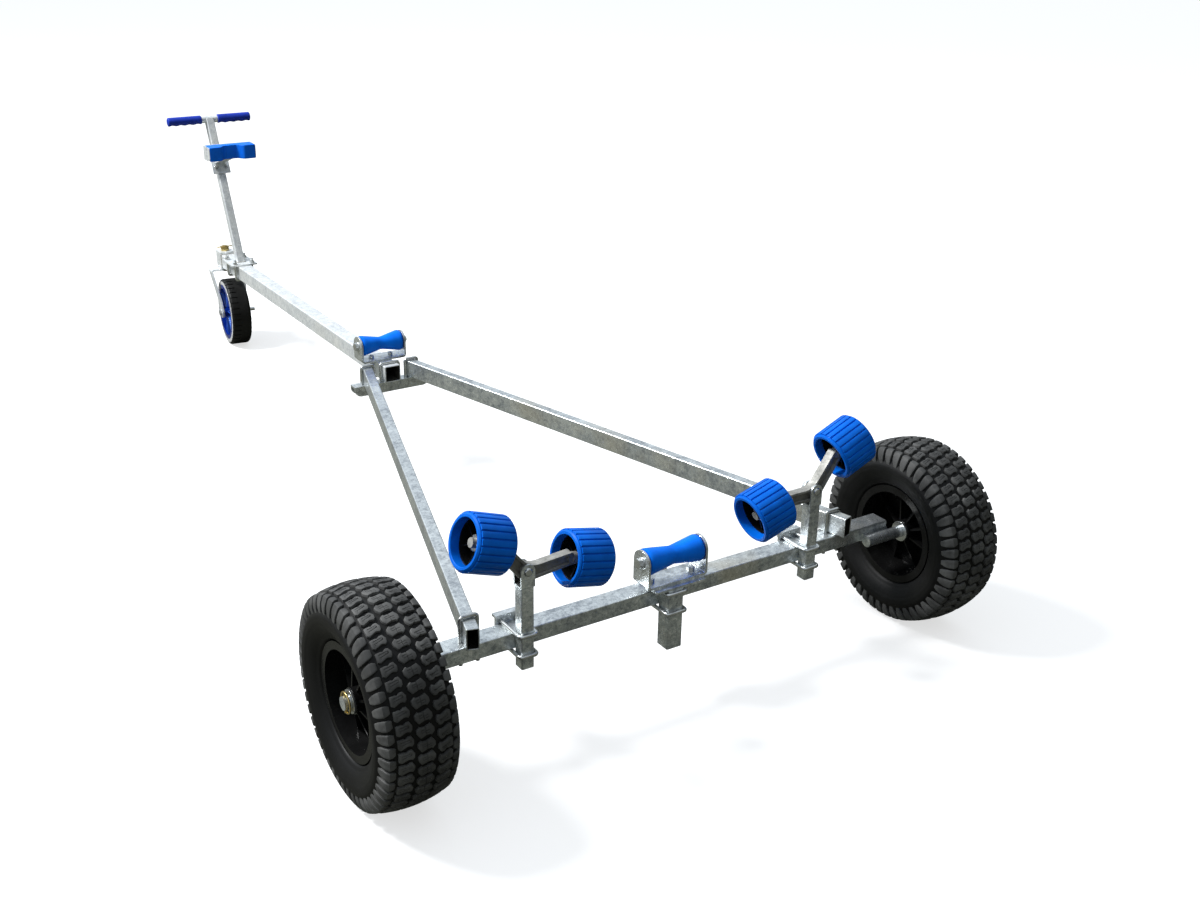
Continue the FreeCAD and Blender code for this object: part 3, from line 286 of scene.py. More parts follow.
def plastic(name, deep, clear, rough, coat, flow_scale=26.0):
    finish = Finish(name)
    flow = finish.between(finish.noise(flow_scale, 3.0, 0.55), 0.3, 0.75)
    fine = finish.noise(plastic_grain_scale, 2.0)
    finish.set(Base_Color=finish.mix(flow, rgb(*deep), rgb(*clear)),
               Roughness=flow * 0.08 + fine * 0.06 + rough, Coat_Weight=coat,
               Specular_IOR_Level=0.10, Coat_Roughness=coat_rough)
    finish.bump(fine * 0.4 + flow, plastic_grain_high, 0.25)
    return finish.material


print("the grain of the rubber is", round(1000 / rubber_grain_scale, 2), "mm wide")

# %% Mix the rubbers and plastics
# The tread is lighter than the casing, partly for its grey bloom and partly as painted light on the blocks. The
# casing floors the grooves, and its far darker rubber is painted shade there.
tread_rubber = rubber("tread_rubber", (0.054, 0.054, 0.053), (0.160, 0.160, 0.156),
                      rough=0.42, grain=0.3)
casing_rubber = rubber("casing_rubber", (0.004, 0.004, 0.004), (0.009, 0.009, 0.0088),
                       rough=0.46, grain=0.3)
caster_rubber = rubber("caster_rubber", (0.006, 0.006, 0.006), (0.016, 0.016, 0.016),
                       rough=0.42, grain=0.25)
black_plastic = plastic("black_plastic", (0.004, 0.004, 0.004), (0.009, 0.009, 0.009),
                        rough=0.18, coat=0.15)
pale_plastic = plastic("pale_plastic", (0.42, 0.42, 0.42), (0.60, 0.60, 0.59),
                       rough=0.35, coat=0.1)
roller_blue = plastic("roller_blue", (0.0006, 0.108, 0.55), (0.001, 0.155, 0.76),
                      rough=0.30, coat=0.03)
keel_blue = plastic("keel_blue", (0.0008, 0.145, 0.78), (0.001, 0.205, 1.0),
                    rough=0.28, coat=0.05)
rim_blue = plastic("caster_blue", (0.001, 0.011, 0.13), (0.002, 0.024, 0.24),
                   rough=0.18, coat=0.3)
# Painted highlight: the ribs are a paler blue than the rim, for where they catch the sky.
rib_painted_highlight = plastic("caster_rib_blue", (0.02, 0.10, 0.50), (0.06, 0.20, 0.80),
                   rough=0.14, coat=0.5)
chock_blue = plastic("chock_blue", (0.004, 0.135, 0.74), (0.006, 0.185, 0.96),
                     rough=0.34, coat=0.05)
grip_blue = plastic("grip_blue", (0.012, 0.032, 0.29), (0.017, 0.048, 0.44),
                    rough=0.32, coat=0.06, flow_scale=40.0)
print("materials so far:", [material.name for material in bpy.data.materials])

# %% Give every CAD node a finish
slot_finish = {"galvanised_steel": tube_zinc, "cast_galvanised": cast_zinc,
               "zinc_hardware": bright_zinc, "gold_zinc": gold_zinc, "tyre": tread_rubber,
               "caster_tyre": caster_rubber, "black_plastic": black_plastic,
               "blue_plastic": rim_blue, "blue_roller": roller_blue,
               "blue_rubber": chock_blue, "blue_grip": grip_blue}
# These parts take the paler zinc, whose brightness is painted light.
parts_painted_bright = ("spine", "mast", "mast_foot", "caster_head", "caster_fork", "chock_bracket",
              "handle_bar")
plates = ("post_plates", "stem_plate", "keel_bracket_rear", "keel_bracket_front", "apex_bar")
node_slot = {part["node"]: part["material_slot"] for part in frame["record"]["subparts"]}
for name, node in nodes.items():
    finish = plate_zinc if name in plates else slot_finish[node_slot[name]]
    finish = painted_bright_zinc if name in parts_painted_bright else finish
    node.data.materials.clear()
    node.data.materials.append(finish)
print("nodes with a finish:", sum(len(node.data.materials) == 1 for node in nodes.values()))

# %% [markdown]
# ## Turn a mesh into a finished piece
# Every piece made below ends the same way, so one function does it, which is safer than sixty
# copies of the same lines. The mesh is shaded smooth, but an edge that turns sharply stays
# crisp. Then the piece gets its finish, rides on the body that carries it, and may stand for
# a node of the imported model.

# %% One function to finish a piece
bodies = frame["record"]["behaviour"]["bodies"]
body_of = {node: body for body, held in bodies.items() for node in held}


def make_piece(name, builder, finish, body, stands_for=(), crisp=34.0):
    """Write a bmesh out as a piece that rides on a body."""
    for face in builder.faces:
        face.smooth = True
    mesh = bpy.data.meshes.new(name)
    builder.to_mesh(mesh)
    builder.free()
    mesh.set_sharp_from_angle(angle=math.radians(crisp))
    mesh.materials.append(finish)
    piece = bpy.data.objects.new(name, mesh)
    bpy.context.scene.collection.objects.link(piece)
    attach(piece, body)
    if stands_for:
        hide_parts(*stands_for)
    print(name, "has", len(mesh.polygons), "faces")
    return piece


def keep_flat(piece):
    """Let the large faces stay flat, so that only the roundings bend the light."""
    piece.modifiers.new("flat_faces", "WEIGHTED_NORMAL").keep_sharp = True


print("bodies that pieces can ride on:", len(bodies))

# %% [markdown]
# ## Worn edges on the steel
# A solid from a CAD program has knife-sharp edges, and nothing made of steel has. A thin
# bright line along each edge tells the eye that it is metal. A Bevel modifier can't do it
# here, because a CAD mesh is loose triangles. So a copy of the node is merged, its flat faces
# are joined, and every edge that turns by more than a third of a right angle is rounded by
# less than a millimetre. Weighted normals keep the large faces flat.

# %% Round the edges of one node
merge_distance, flat_turn, sharp_turn = 0.00002, math.radians(0.6), math.radians(30)


def rounded_copy(name, finish, width):
    builder = bmesh.new()
    builder.from_mesh(nodes[name].data)
    bmesh.ops.remove_doubles(builder, verts=builder.verts, dist=merge_distance)
    bmesh.ops.dissolve_limit(builder, angle_limit=flat_turn, verts=builder.verts,
                             edges=builder.edges)
    sharp = [edge for edge in builder.edges
             if len(edge.link_faces) == 2 and edge.calc_face_angle() > sharp_turn]
    bmesh.ops.bevel(builder, geom=sharp, offset=width, segments=2, profile=0.5, affect="EDGES",
                    material=-1, clamp_overlap=True)
    piece = make_piece(name + "_worn", builder, finish, body_of[name], [name])
    keep_flat(piece)
    return piece


print("edges that turn by more than", round(math.degrees(sharp_turn)), "degrees are rounded")

# %% Mark the hollows, where the finish paints shade
def shade_hollows(piece, node, below):
    """Mark the faces inside the flanges of a rocker, where the finish paints shade."""
    low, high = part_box(node)
    centre_y, half = (low[1] + high[1]) / 2, (high[1] - low[1]) / 2
    mark = piece.data.attributes.new("hollow", "FLOAT", "FACE")
    for face, entry in zip(piece.data.polygons, mark.data):
        deep = half - abs(face.center.y - centre_y)
        entry.value = float(abs(face.normal.y) > 0.9 and deep > below)


def shade_inside(piece, node, darkness):
    """Mark the faces that look in on a tube's own axis, where light hardly reaches, for painted shade."""
    mesh = piece.data
    sides = [mesh.vertices[edge.vertices[0]].co - mesh.vertices[edge.vertices[1]].co
             for edge in mesh.edges]
    along = max(sides, key=lambda side: side.length).normalized()
    middle = (Vector(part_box(node)[0]) + Vector(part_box(node)[1])) / 2
    mark = mesh.attributes.new("hollow", "FLOAT", "FACE")
    for face, entry in zip(mesh.polygons, mark.data):
        inward = middle - face.center
        inward -= along * inward.dot(along)
        looks_in = abs(face.normal.dot(along)) < 0.3 and inward.dot(face.normal) > 0
        entry.value = darkness * looks_in


tubes = ("spine", "leg_left", "leg_right", "post_left", "post_right", "keel_stem")
print("tubes to be darkened inside:", len(tubes))

# %% Round every steel node and mark the hollows for painted shade
edge_width = {"galvanised_steel": 0.0009, "cast_galvanised": 0.0008, "zinc_hardware": 0.0005,
              "gold_zinc": 0.0005, "black_plastic": 0.0008}
# How deep in a rocker's flanges the painted shade starts, and how strongly a tube's inside is painted dark.
flange_high, tube_darkness = 0.0025, 2.0
for name in nodes:
    if node_slot[name] in edge_width:
        piece = rounded_copy(name, nodes[name].data.materials[0], edge_width[node_slot[name]])
        if name.startswith("rocker_"):
            shade_hollows(piece, name, flange_high)
        if name in tubes:
            shade_inside(piece, name, tube_darkness)

# %% [markdown]
# ## Rollers in two parts
# A side roller is a blue rubber ring pressed over a black core. The ring has a plain bevelled
# rim at each end and 24 raised lands between them, which grip the hull. A land is a flat bar
# with a rounded top edge, copied round the ring, which gives cleaner edges than grooves cut
# by a Boolean. The core is a hub, a web and six ribs, well inside the ring. Both are made
# round the X axis and then laid along the roller's own axis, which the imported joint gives.

# %% Spin, extrude and copy: the helpers for moulded parts
def spun_solid(loop, steps):
    """Spin a closed loop of (along, radius) pairs in millimetres about the X axis."""
    builder = bmesh.new()
    verts = [builder.verts.new((along / 1000, 0, radius / 1000)) for along, radius in loop]
    edges = [builder.edges.new(pair) for pair in zip(verts, verts[1:] + verts[:1])]
    bmesh.ops.spin(builder, geom=verts + edges, cent=(0, 0, 0), axis=X, angle=math.tau,
                   steps=steps, use_merge=True)
    bmesh.ops.recalc_face_normals(builder, faces=builder.faces)
    return builder


def slab(builder, outline, low, high, flare=1.0):
    """Extrude an outline in millimetres from one height to another, its foot flared."""
    verts = [builder.verts.new((x * flare / 1000, y * flare / 1000, low / 1000))
             for x, y in outline]
    face = builder.faces.new(verts)
    raised = bmesh.ops.extrude_face_region(builder, geom=[face])["geom"]
    tops = [item for item in raised if isinstance(item, bmesh.types.BMVert)]
    for vert in tops:
        vert.co = Vector((vert.co.x / flare, vert.co.y / flare, high / 1000))
    return [item for item in raised if isinstance(item, bmesh.types.BMFace)]


def bar(half_long, half_wide, low, high):
    """A flat bar along X, extruded from one height to another, and its top face."""
    builder = bmesh.new()
    top = slab(builder, [(-half_long, -half_wide), (half_long, -half_wide),
                         (half_long, half_wide), (-half_long, half_wide)], low, high)
    return builder, top


def round_edges(builder, edges, width, segments=2):
    bmesh.ops.bevel(builder, geom=list(edges), offset=width, segments=segments, profile=0.5,
                    affect="EDGES", material=-1)


def round_top(builder, top, width):
    """Round the edges of the top faces that an extrusion gave."""
    round_edges(builder, dict.fromkeys(edge for face in top for edge in face.edges), width)


def add_mesh(builder, part, turn=0.0):
    """Copy one bmesh into another, turned about the X axis."""
    mesh = bpy.data.meshes.new("part")
    part.to_mesh(mesh)
    old = len(builder.verts)
    builder.from_mesh(mesh)
    bpy.data.meshes.remove(mesh)
    builder.verts.ensure_lookup_table()
    if turn:
        bmesh.ops.rotate(builder, verts=builder.verts[old:], cent=(0, 0, 0),
                         matrix=Matrix.Rotation(turn, 3, "X"))


def copy_round(builder, part, count, start=0.0):
    """Copy a part so many times round the X axis, and let go of it."""
    bmesh.ops.recalc_face_normals(part, faces=part.faces)
    for k in range(count):
        add_mesh(builder, part, math.tau * (k + start) / count)
    part.free()


print("these helpers take millimetres")

# %% Cast a roller's ring and its core
land_count, land_share, land_edge, ring_floor, ring_top = 24, 0.78, 0.0008, 51.3, 54.0
ring_half, ring_hole, ring_bevel, land_half = 40.0, 43.0, 2.6, 35.0
core_half, core_wall, hub_half, hub_out, bore, web_half = 22.0, 3.0, 13.8, 15.0, 10.6, 3.0
rib_count, rib_half, rib_thick = 6, 17.0, 1.3


def roller_ring():
    bevel = ring_bevel
    builder = spun_solid([(-ring_half, ring_hole + 1), (-ring_half, ring_floor - bevel),
                          (bevel - ring_half, ring_floor), (ring_half - bevel, ring_floor),
                          (ring_half, ring_floor - bevel), (ring_half, ring_hole + 1),
                          (ring_half - 1, ring_hole), (1 - ring_half, ring_hole)], 72)
    wide = math.pi * ring_top / land_count * land_share
    land, top = bar(land_half, wide, ring_floor - 1, ring_top)
    round_top(land, top, land_edge)
    copy_round(builder, land, land_count, 0.5)
    return builder


def roller_core():
    wall = ring_hole - core_wall
    builder = spun_solid([(-core_half, ring_hole - 0.2), (core_half, ring_hole - 0.2),
                          (core_half, wall), (web_half, wall - 1), (web_half, hub_out + 1),
                          (hub_half, hub_out), (hub_half, bore), (-hub_half, bore),
                          (-hub_half, hub_out), (-web_half, hub_out + 1),
                          (-web_half, wall - 1), (-core_half, wall)], 48)
    copy_round(builder, bar(rib_half, rib_thick, hub_out - 2, wall)[0], rib_count)
    return builder


print("a ring is", 2 * ring_half, "mm long with", land_count, "lands")

# %% Lay each roller along its own axis
spin_of = {joint["child"]: joint for joint in frame["joints"]}
for body in [body for body in bodies if body.startswith("wobble_")]:
    joint = spin_of[body]
    node = bodies[body][0]
    axis = Vector(joint["axis"]).normalized()
    turn = Matrix((axis, Y, axis.cross(Y))).transposed()
    for kind, builder, finish, slot in (("ring_", roller_ring(), roller_blue, "blue_roller"),
                                        ("core_", roller_core(), black_plastic,
                                         "black_plastic")):
        bmesh.ops.transform(builder, matrix=Matrix.Translation(joint["pos_m"]) @ turn.to_4x4(),
                            verts=builder.verts)
        make_piece(kind + node, builder, finish, body, [node])

# %% [markdown]
# ## Keel rollers
# A keel roller is two cones that meet in a soft crease at the waist, with a short round shoulder
# at each end. The boat's keel drops into the waist and stays there. A stretched cylinder would
# have no crease, so the real outline is drawn and spun.

# %% Turn the keel rollers
keel_bore, keel_end, keel_lip = 6.1, 27.0, 24.0
for place, half, waist in (("rear", 62.5, 18.5), ("front", 56.0, 17.0)):
    node = "keel_roller_" + place
    slope = [(-half, keel_bore), (-half, keel_lip), (0.9 - half, keel_end - 0.9),
             (3 - half, keel_end), (8.5 - half, keel_end - 0.4), (-7, waist + 0.9),
             (-3, waist + 0.2)]
    other_slope = [(-along, radius) for along, radius in slope[::-1]]
    builder = spun_solid(slope + [(0, waist)] + other_slope, 64)
    low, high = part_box(node)
    bmesh.ops.translate(builder, verts=builder.verts, vec=(Vector(low) + Vector(high)) / 2)
    make_piece(node + "_turned", builder, keel_blue, body_of[node], [node])

# %% [markdown]
# ## The bow chock
# The boat's stem rests in a block of blue rubber with a hollow between two pads. Its outline
# seen from above is half of a cosine wave on either side of the hollow. Rounding the packed
# mesh would leave dark creases in the hollow, so the outline is drawn afresh between the
# node's own limits and extruded. A pale steel cheek closes each end.

# %% Cast the chock
hollow_half, hollow_slope, hollow_deep, slope_steps, chock_edge = 16.5, 25.0, 22.0, 10, 0.0022
chock_low, chock_high = (Vector(corner) * 1000 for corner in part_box("bow_chock"))
wave = [(hollow_half + hollow_slope * k / slope_steps,
         chock_low.y + hollow_deep * (1 + math.cos(math.pi * k / slope_steps)) / 2)
        for k in range(slope_steps + 1)]
outline = wave + [(chock_high.x, chock_low.y), (chock_high.x, chock_high.y)]
outline += [(-x, y) for x, y in outline[::-1]]
block = bmesh.new()
slab(block, outline, chock_low.z, chock_high.z)
bmesh.ops.recalc_face_normals(block, faces=block.faces)
sharp = [edge for edge in block.edges if edge.calc_face_angle(0) > math.radians(50)]
round_edges(block, sharp, chock_edge, 3)
keep_flat(make_piece("bow_chock_cast", block, chock_blue, body_of["bow_chock"],
                     ["bow_chock"]))

# %% Close its ends with cheeks
cheek_thick, cheek_inset, cheek_round = 1.4, 1.0, 0.0035
middle = (chock_low + chock_high) / 2
size = chock_high - chock_low - Vector((0, 2 * cheek_inset, 2 * cheek_inset))
shape = Matrix.Diagonal((cheek_thick / 1000, size.y / 1000, size.z / 1000, 1))
cheeks = bmesh.new()
for outer in (chock_low.x - cheek_thick / 2, chock_high.x + cheek_thick / 2):
    place = Matrix.Translation((outer / 1000, middle.y / 1000, middle.z / 1000))
    made = bmesh.ops.create_cube(cheeks, size=1.0, matrix=place @ shape)
    across = dict.fromkeys(edge for vert in made["verts"] for edge in vert.link_edges
                           if abs(edge.verts[0].co.x - edge.verts[1].co.x) > cheek_thick / 2000)
    round_edges(cheeks, across, cheek_round, 3)
# The cheeks take the paler zinc, painted light.
make_piece("chock_cheeks", cheeks, painted_bright_zinc, body_of["bow_chock"])

# %% [markdown]
# ## The grips
# A grip is a rubber sleeve with round ends. Four hollows under it take the fingers. Cutting
# them with four cylinders would leave sharp rims, so the sleeve is built of rings whose
# radius is made smaller there, most of all straight below.

# %% Mould the two grips
grip_radius, grip_end, ring_count, around, bare_half = 14.2, 4.0, 88, 40, 26.0
finger_count, finger_deep, finger_narrow = 4, 2.3, 1.5


def grip(builder, start, end, y, z):
    """A sleeve along X from start to end, all in millimetres."""
    rings = []
    length = end - start
    for k in range(ring_count + 1):
        run = length * k / ring_count
        edge = min(run, length - run, grip_end)
        radius = grip_radius - grip_end + math.sqrt(grip_end ** 2 - (grip_end - edge) ** 2)
        finger = math.sin(math.pi * finger_count * run / length) ** 2
        ring = []
        for j in range(around):
            turn = math.tau * j / around
            below = max(-math.cos(turn), 0) ** finger_narrow
            reach = radius - finger_deep * finger * below
            place = Vector((start + run, y + reach * math.sin(turn), z + reach * math.cos(turn)))
            ring.append(builder.verts.new(place / 1000))
        rings.append(ring)
    for near, far in zip(rings, rings[1:]):
        for j in range(around):
            after = (j + 1) % around
            builder.faces.new((near[j], near[after], far[after], far[j]))
    builder.faces.new(rings[0])
    builder.faces.new(rings[-1])


bar_low, bar_high = (Vector(corner) * 1000 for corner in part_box("handle_bar"))
grip_low, grip_high = (Vector(corner) * 1000 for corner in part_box("grips"))
sleeves = bmesh.new()
for start, end in ((grip_low.x, -bare_half), (bare_half, grip_high.x)):
    grip(sleeves, start, end, (bar_low.y + bar_high.y) / 2, (bar_low.z + bar_high.z) / 2)
bmesh.ops.recalc_face_normals(sleeves, faces=sleeves.faces)
make_piece("grip_sleeves", sleeves, grip_blue, body_of["grips"], ["grips"],
           crisp=50.0)

# %% [markdown]
# ## Welds and threads
# A weld is a row of small overlapping drops of metal, each a little different, laid where
# two parts meet. A bump in the material would stay flat at the outline, so the drops are
# real. A thread is a saw-tooth outline spun round the end of a bolt, and under each nut lies
# a washer.

# %% Lay the welds
drop_size, small_drop, drop_step, drop_change, drop_beat = 2.6, 2.2, 0.85, 0.13, 5.1


def weld(builder, corners, size=drop_size):
    """A row of drops along the straight runs between corners, in millimetres."""
    for start, end in zip(corners, corners[1:]):
        start, end = Vector(start), Vector(end)
        count = max(round((end - start).length / (size * drop_step)), 1)
        for k in range(count + 1):
            drop = size * (1 + drop_change * math.sin(drop_beat * k + start.x)) / 1000
            place = Matrix.Translation(start.lerp(end, k / count) / 1000)
            bmesh.ops.create_uvsphere(builder, u_segments=10, v_segments=6, radius=drop,
                                      matrix=place)


foot_top, mast_y, mast_half = 299.0, 1221.0, 12.5
beam_face, axle_z, axle_weld, axle_lap_x, axle_end_x = -1217.0, 200.0, 7.5, 506.0, 568.0
head_joint, spine_half, spine_low, spine_top = 1346.0, 22.0, 250.0, 294.0
beads = bmesh.new()
weld(beads, [(x * mast_half, mast_y + y * mast_half, foot_top)
             for x, y in ((-1, -1), (1, -1), (1, 1), (-1, 1), (-1, -1))])
for side in (-1, 1):
    for rise in (-axle_weld, axle_weld):
        weld(beads, [(side * x, beam_face, axle_z + rise) for x in (axle_lap_x, axle_end_x)])
    weld(beads, [(side * spine_half, head_joint, z) for z in (spine_low, spine_top)], small_drop)
weld(beads, [(x, head_joint, spine_top) for x in (-spine_half, spine_half)], small_drop)
make_piece("welds", beads, cast_zinc, "chassis")

# %% Cut the threads and add the washers
bolt_radius, thread_pitch, washer_radius, washer_high, nut_high = 4.0, 1.25, 8.5, 1.6, 7.0
bolt_places = [(x, y) for x in (-28.0, 28.0) for y in (1188.5, 1263.5)]
bolt_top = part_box("foot_clamp")[1][2] * 1000


def turned_at(builder, loop, place, steps=20):
    """A solid of revolution that stands upright at a place, in millimetres."""
    part = spun_solid(loop, steps)
    bmesh.ops.rotate(part, verts=part.verts, cent=(0, 0, 0),
                     matrix=Matrix.Rotation(-math.pi / 2, 3, "Y"))
    bmesh.ops.translate(part, verts=part.verts, vec=Vector(place) / 1000)
    add_mesh(builder, part)
    part.free()


tooth = []
rise = foot_top + nut_high
while rise < bolt_top - 0.4:
    tooth += [(rise, bolt_radius - 0.05), (rise + thread_pitch / 2, bolt_radius + 0.35)]
    rise += thread_pitch
core = [(tooth[0][0], bolt_radius - 1)], [(tooth[-1][0], bolt_radius - 1)]
washer = [(0, bolt_radius), (washer_high, bolt_radius), (washer_high, washer_radius),
          (0, washer_radius)]
threads = bmesh.new()
for bolt_x, bolt_y in bolt_places:
    turned_at(threads, washer, (bolt_x, bolt_y, foot_top))
    turned_at(threads, core[0] + tooth + core[1], (bolt_x, bolt_y, 0))
make_piece("threads", threads, bright_zinc, body_of["foot_clamp"])

# %% [markdown]
# ## The caster's rim
# The small front wheel has a deep blue rim. Its flange lies over the tyre's side, and from
# the hub run pairs of ribs that open to the rim like a V. They are given a paler blue than
# the rim, a painted highlight for where they catch the sky.
# Round the flange the tyre shows a pale ring with a wavy edge, one wave for each notch of
# the tread. It could be painted on, but a thin ring of its own keeps the edge crisp.

# %% Cast the caster's rim and its ribs
rim_half, rim_seat, rim_inner, flange_radius, flange_proud = 31.0, 84.0, 78.0, 92.5, 1.0
caster_bore, caster_hub, caster_hub_half, caster_web = 6.2, 17.0, 34.5, 3.0
vee_count, vee_open, vee_thick, vee_share, vee_edge = 6, math.radians(9), 3.4, 0.86, 0.0008


def caster_rim_body():
    face, seat = rim_half + flange_proud, rim_half - 0.1
    half = [(face, rim_inner + 1), (face, flange_radius - 1.5), (face - 0.4, flange_radius),
            (seat, flange_radius), (seat, rim_seat)]
    inside = [(caster_hub_half, caster_bore), (caster_hub_half, caster_hub),
              (caster_web, caster_hub + 2), (caster_web, rim_inner - 1)]
    return spun_solid([(-along, radius) for along, radius in half] + half[::-1]
                      + inside[::-1] + [(-along, radius) for along, radius in inside], 96)


def caster_ribs():
    """Pairs of flat ribs from the hub to the rim on both faces of the web."""
    builder = bmesh.new()
    rib = bar(rim_half * vee_share, vee_thick / 2, 0, rim_inner - caster_hub + 4)[0]
    bmesh.ops.recalc_face_normals(rib, faces=rib.faces)
    round_edges(rib, [edge for edge in rib.edges
                      if abs(edge.verts[0].co.x - edge.verts[1].co.x) < 1e-6], vee_edge)
    for lean in (-vee_open, vee_open):
        leaned = rib.copy()
        bmesh.ops.rotate(leaned, verts=leaned.verts, cent=(0, 0, 0),
                         matrix=Matrix.Rotation(lean, 3, "X"))
        bmesh.ops.translate(leaned, verts=leaned.verts, vec=Z * (caster_hub - 2) / 1000)
        copy_round(builder, leaned, vee_count, 0.25)
    rib.free()
    return builder


print("the caster's rim has", vee_count, "pairs of ribs")

# %% Cut the wavy ring
ring_wave, ring_waves, ring_outer, ring_steps = 1.1, 36, 102.6, 216


def wavy_ring(side):
    """A thin flat ring on one side of the tyre, its outer edge in waves."""
    builder = bmesh.new()
    loops = []
    foot, face = rim_half - 0.2, rim_half + flange_proud * 0.8
    for along, inner in ((foot, False), (face, False), (face, True), (foot, True)):
        loop = []
        for k in range(ring_steps):
            turn = math.tau * k / ring_steps
            outer = ring_outer + ring_wave * math.cos(ring_waves * turn)
            radius = flange_radius - 1 if inner else outer
            place = Vector((side * along, radius * math.sin(turn), radius * math.cos(turn)))
            loop.append(builder.verts.new(place / 1000))
        loops.append(loop)
    for near, far in zip(loops, loops[1:] + loops[:1]):
        for k in range(ring_steps):
            after = (k + 1) % ring_steps
            builder.faces.new((near[k], near[after], far[after], far[k]))
    bmesh.ops.recalc_face_normals(builder, faces=builder.faces)
    return builder


both_rings, far_ring = wavy_ring(1), wavy_ring(-1)
add_mesh(both_rings, far_ring)
far_ring.free()
print("faces of both rings:", len(both_rings.faces))

# %% Fit them on the caster's axle
caster_joint = spin_of["caster_wheel"]
caster_axis = Vector(caster_joint["axis"]).normalized()
caster_turn = Matrix((caster_axis, Z.cross(caster_axis), Z)).transposed().to_4x4()
for name, builder, finish, slot, node in (
        ("caster_rim_cast", caster_rim_body(), rim_blue, "blue_plastic", ["caster_rim"]),
        # The ribs' paler blue is a painted highlight.
        ("caster_ribs", caster_ribs(), rib_painted_highlight, "blue_plastic", ["caster_rim"]),
        ("caster_ring", both_rings, pale_plastic, "caster_tyre", [])):
    bmesh.ops.transform(builder, verts=builder.verts,
                        matrix=Matrix.Translation(caster_joint["pos_m"]) @ caster_turn)
    make_piece(name, builder, finish, "caster_wheel", node)

# %% [markdown]
# ## The tyre's outline as a ruler
# The tread could be modelled where it stands, but a curved block is hard to draw. So every
# part is laid out flat first, as on a strip of paper: so far across, so far along, so high.
# One function then rolls the strip onto the tyre. It needs the outline of the tyre as two
# arcs, the crown and the bulging side, and how far round it each point lies.

# %% Measure along the tyre's outline
wheel_radius, wheel_x, tyre_half, tread_high = 0.200, 0.630, 0.0725, 0.005
shoulder_across, shoulder_radius = 0.86 * tyre_half, 0.955 * wheel_radius
crown_drop = wheel_radius - shoulder_radius
crown_bow = (shoulder_across ** 2 + crown_drop ** 2) / (2 * crown_drop)
crown_end = crown_bow * math.asin(shoulder_across / crown_bow)
bulge_out, bulge_radius = tyre_half, 0.76 * wheel_radius
bead_across, bead_radius = 0.049, 0.108


def circle_through(first, middle, last):
    """The centre of the circle through three points of a plane."""
    ax, ay, bx, by, cx, cy = *first, *middle, *last
    d = 2 * (ax * (by - cy) + bx * (cy - ay) + cx * (ay - by))
    a, b, c = ax * ax + ay * ay, bx * bx + by * by, cx * cx + cy * cy
    return ((a * (by - cy) + b * (cy - ay) + c * (ay - by)) / d,
            (a * (cx - bx) + b * (ax - cx) + c * (bx - ax)) / d)


side_centre = circle_through((shoulder_across, shoulder_radius), (bulge_out, bulge_radius),
                             (bead_across, bead_radius))
side_bow = math.hypot(shoulder_across - side_centre[0], shoulder_radius - side_centre[1])
side_start = math.atan2(shoulder_radius - side_centre[1], shoulder_across - side_centre[0])
side_end = math.atan2(bead_radius - side_centre[1], bead_across - side_centre[0])
outline_end = crown_end + side_bow * (side_start - side_end)


def on_tyre(across, height):
    """A point's place across and its radius, from how far it lies round the outline."""
    way = abs(across)
    if way < crown_end:
        turn = way / crown_bow
        out = (crown_bow + height) * math.sin(turn)
        radius = wheel_radius - crown_bow + (crown_bow + height) * math.cos(turn)
    else:
        turn = side_start - (way - crown_end) / side_bow
        out = side_centre[0] + (side_bow + height) * math.cos(turn)
        radius = side_centre[1] + (side_bow + height) * math.sin(turn)
    return math.copysign(out, across), radius


def roll_onto_tyre(builder):
    """Turn a flat strip (across, along, height) into the shape it has on the tyre."""
    for vert in builder.verts:
        across, along, height = vert.co
        out, radius = on_tyre(across, height)
        turn = along / wheel_radius
        vert.co = Vector((out, radius * math.sin(turn), radius * math.cos(turn)))


print("outline from the crown's middle to the bead:", round(outline_end * 1000), "mm")

# %% [markdown]
# ## The tread blocks
# The tread has three rows of blocks, fifty to a row. A middle block looks like two hands
# gripping: the same from both ends. A side block has a straight outer edge and one such hand.
# Each has a fine crooked slit, called a sipe, that opens on wet ground. A bump can't show
# such blocks against the sky, so a block is one outline, extruded and bevelled, and the sipe
# is cut out of it with a Boolean modifier while it is still one block.

# %% Draw one block of each kind
tread_count = 50
pitch = 2 * math.pi * wheel_radius / tread_count
half_block = [(-9.5, 9), (-15.3, 4.2), (-15.3, -2.4), (-9.8, -10.6), (0.5, -7.2), (7, -7)]
mid_block = half_block + [(-x, -y) for x, y in half_block]
mid_sipe = [(-2, 3.6), (-8.4, 2.6), (-7.8, -1.6), (7.8, 1.6), (8.4, -2.6), (2, -3.6)]
mid_cuts = [[(-0.4, 7.5), (0, 0.5)], [(0.4, -7.5), (0, -0.5)]]
side_block = [(-13.7, 7), (-13.7, -8), (-9, -10.8), (2, -5.6), (5, -5.4), (9.5, -7.2), (12.8, -3.6),
              (13.5, 3.4), (9, 10.6), (4.5, 10.6), (-1, 7), (-4, 8.2)]
side_sipe = [(-9, 3.2), (5.5, 5.6), (8.4, 2), (-8.4, -1.6), (-6.4, -5)]
side_row, block_flare = 35.0, 1.05
sipe_wide, sipe_deep, rubber_edge, block_root = 0.9, 2.2, 0.0009, 1.5
print("one block every", round(pitch * 1000, 1), "mm")

# %% Cut the sipes of a block
def ribbon(points, wide):
    """The outline of a ribbon of one width along a crooked line."""
    path = [Vector(point) for point in points]
    left, right = [], []
    for k, here in enumerate(path):
        before = path[max(k - 1, 0)]
        after = path[min(k + 1, len(path) - 1)]
        along = (after - before).normalized()
        across = Vector((-along.y, along.x)) * wide / 2
        left.append(here + across)
        right.append(here - across)
    return left + right[::-1]


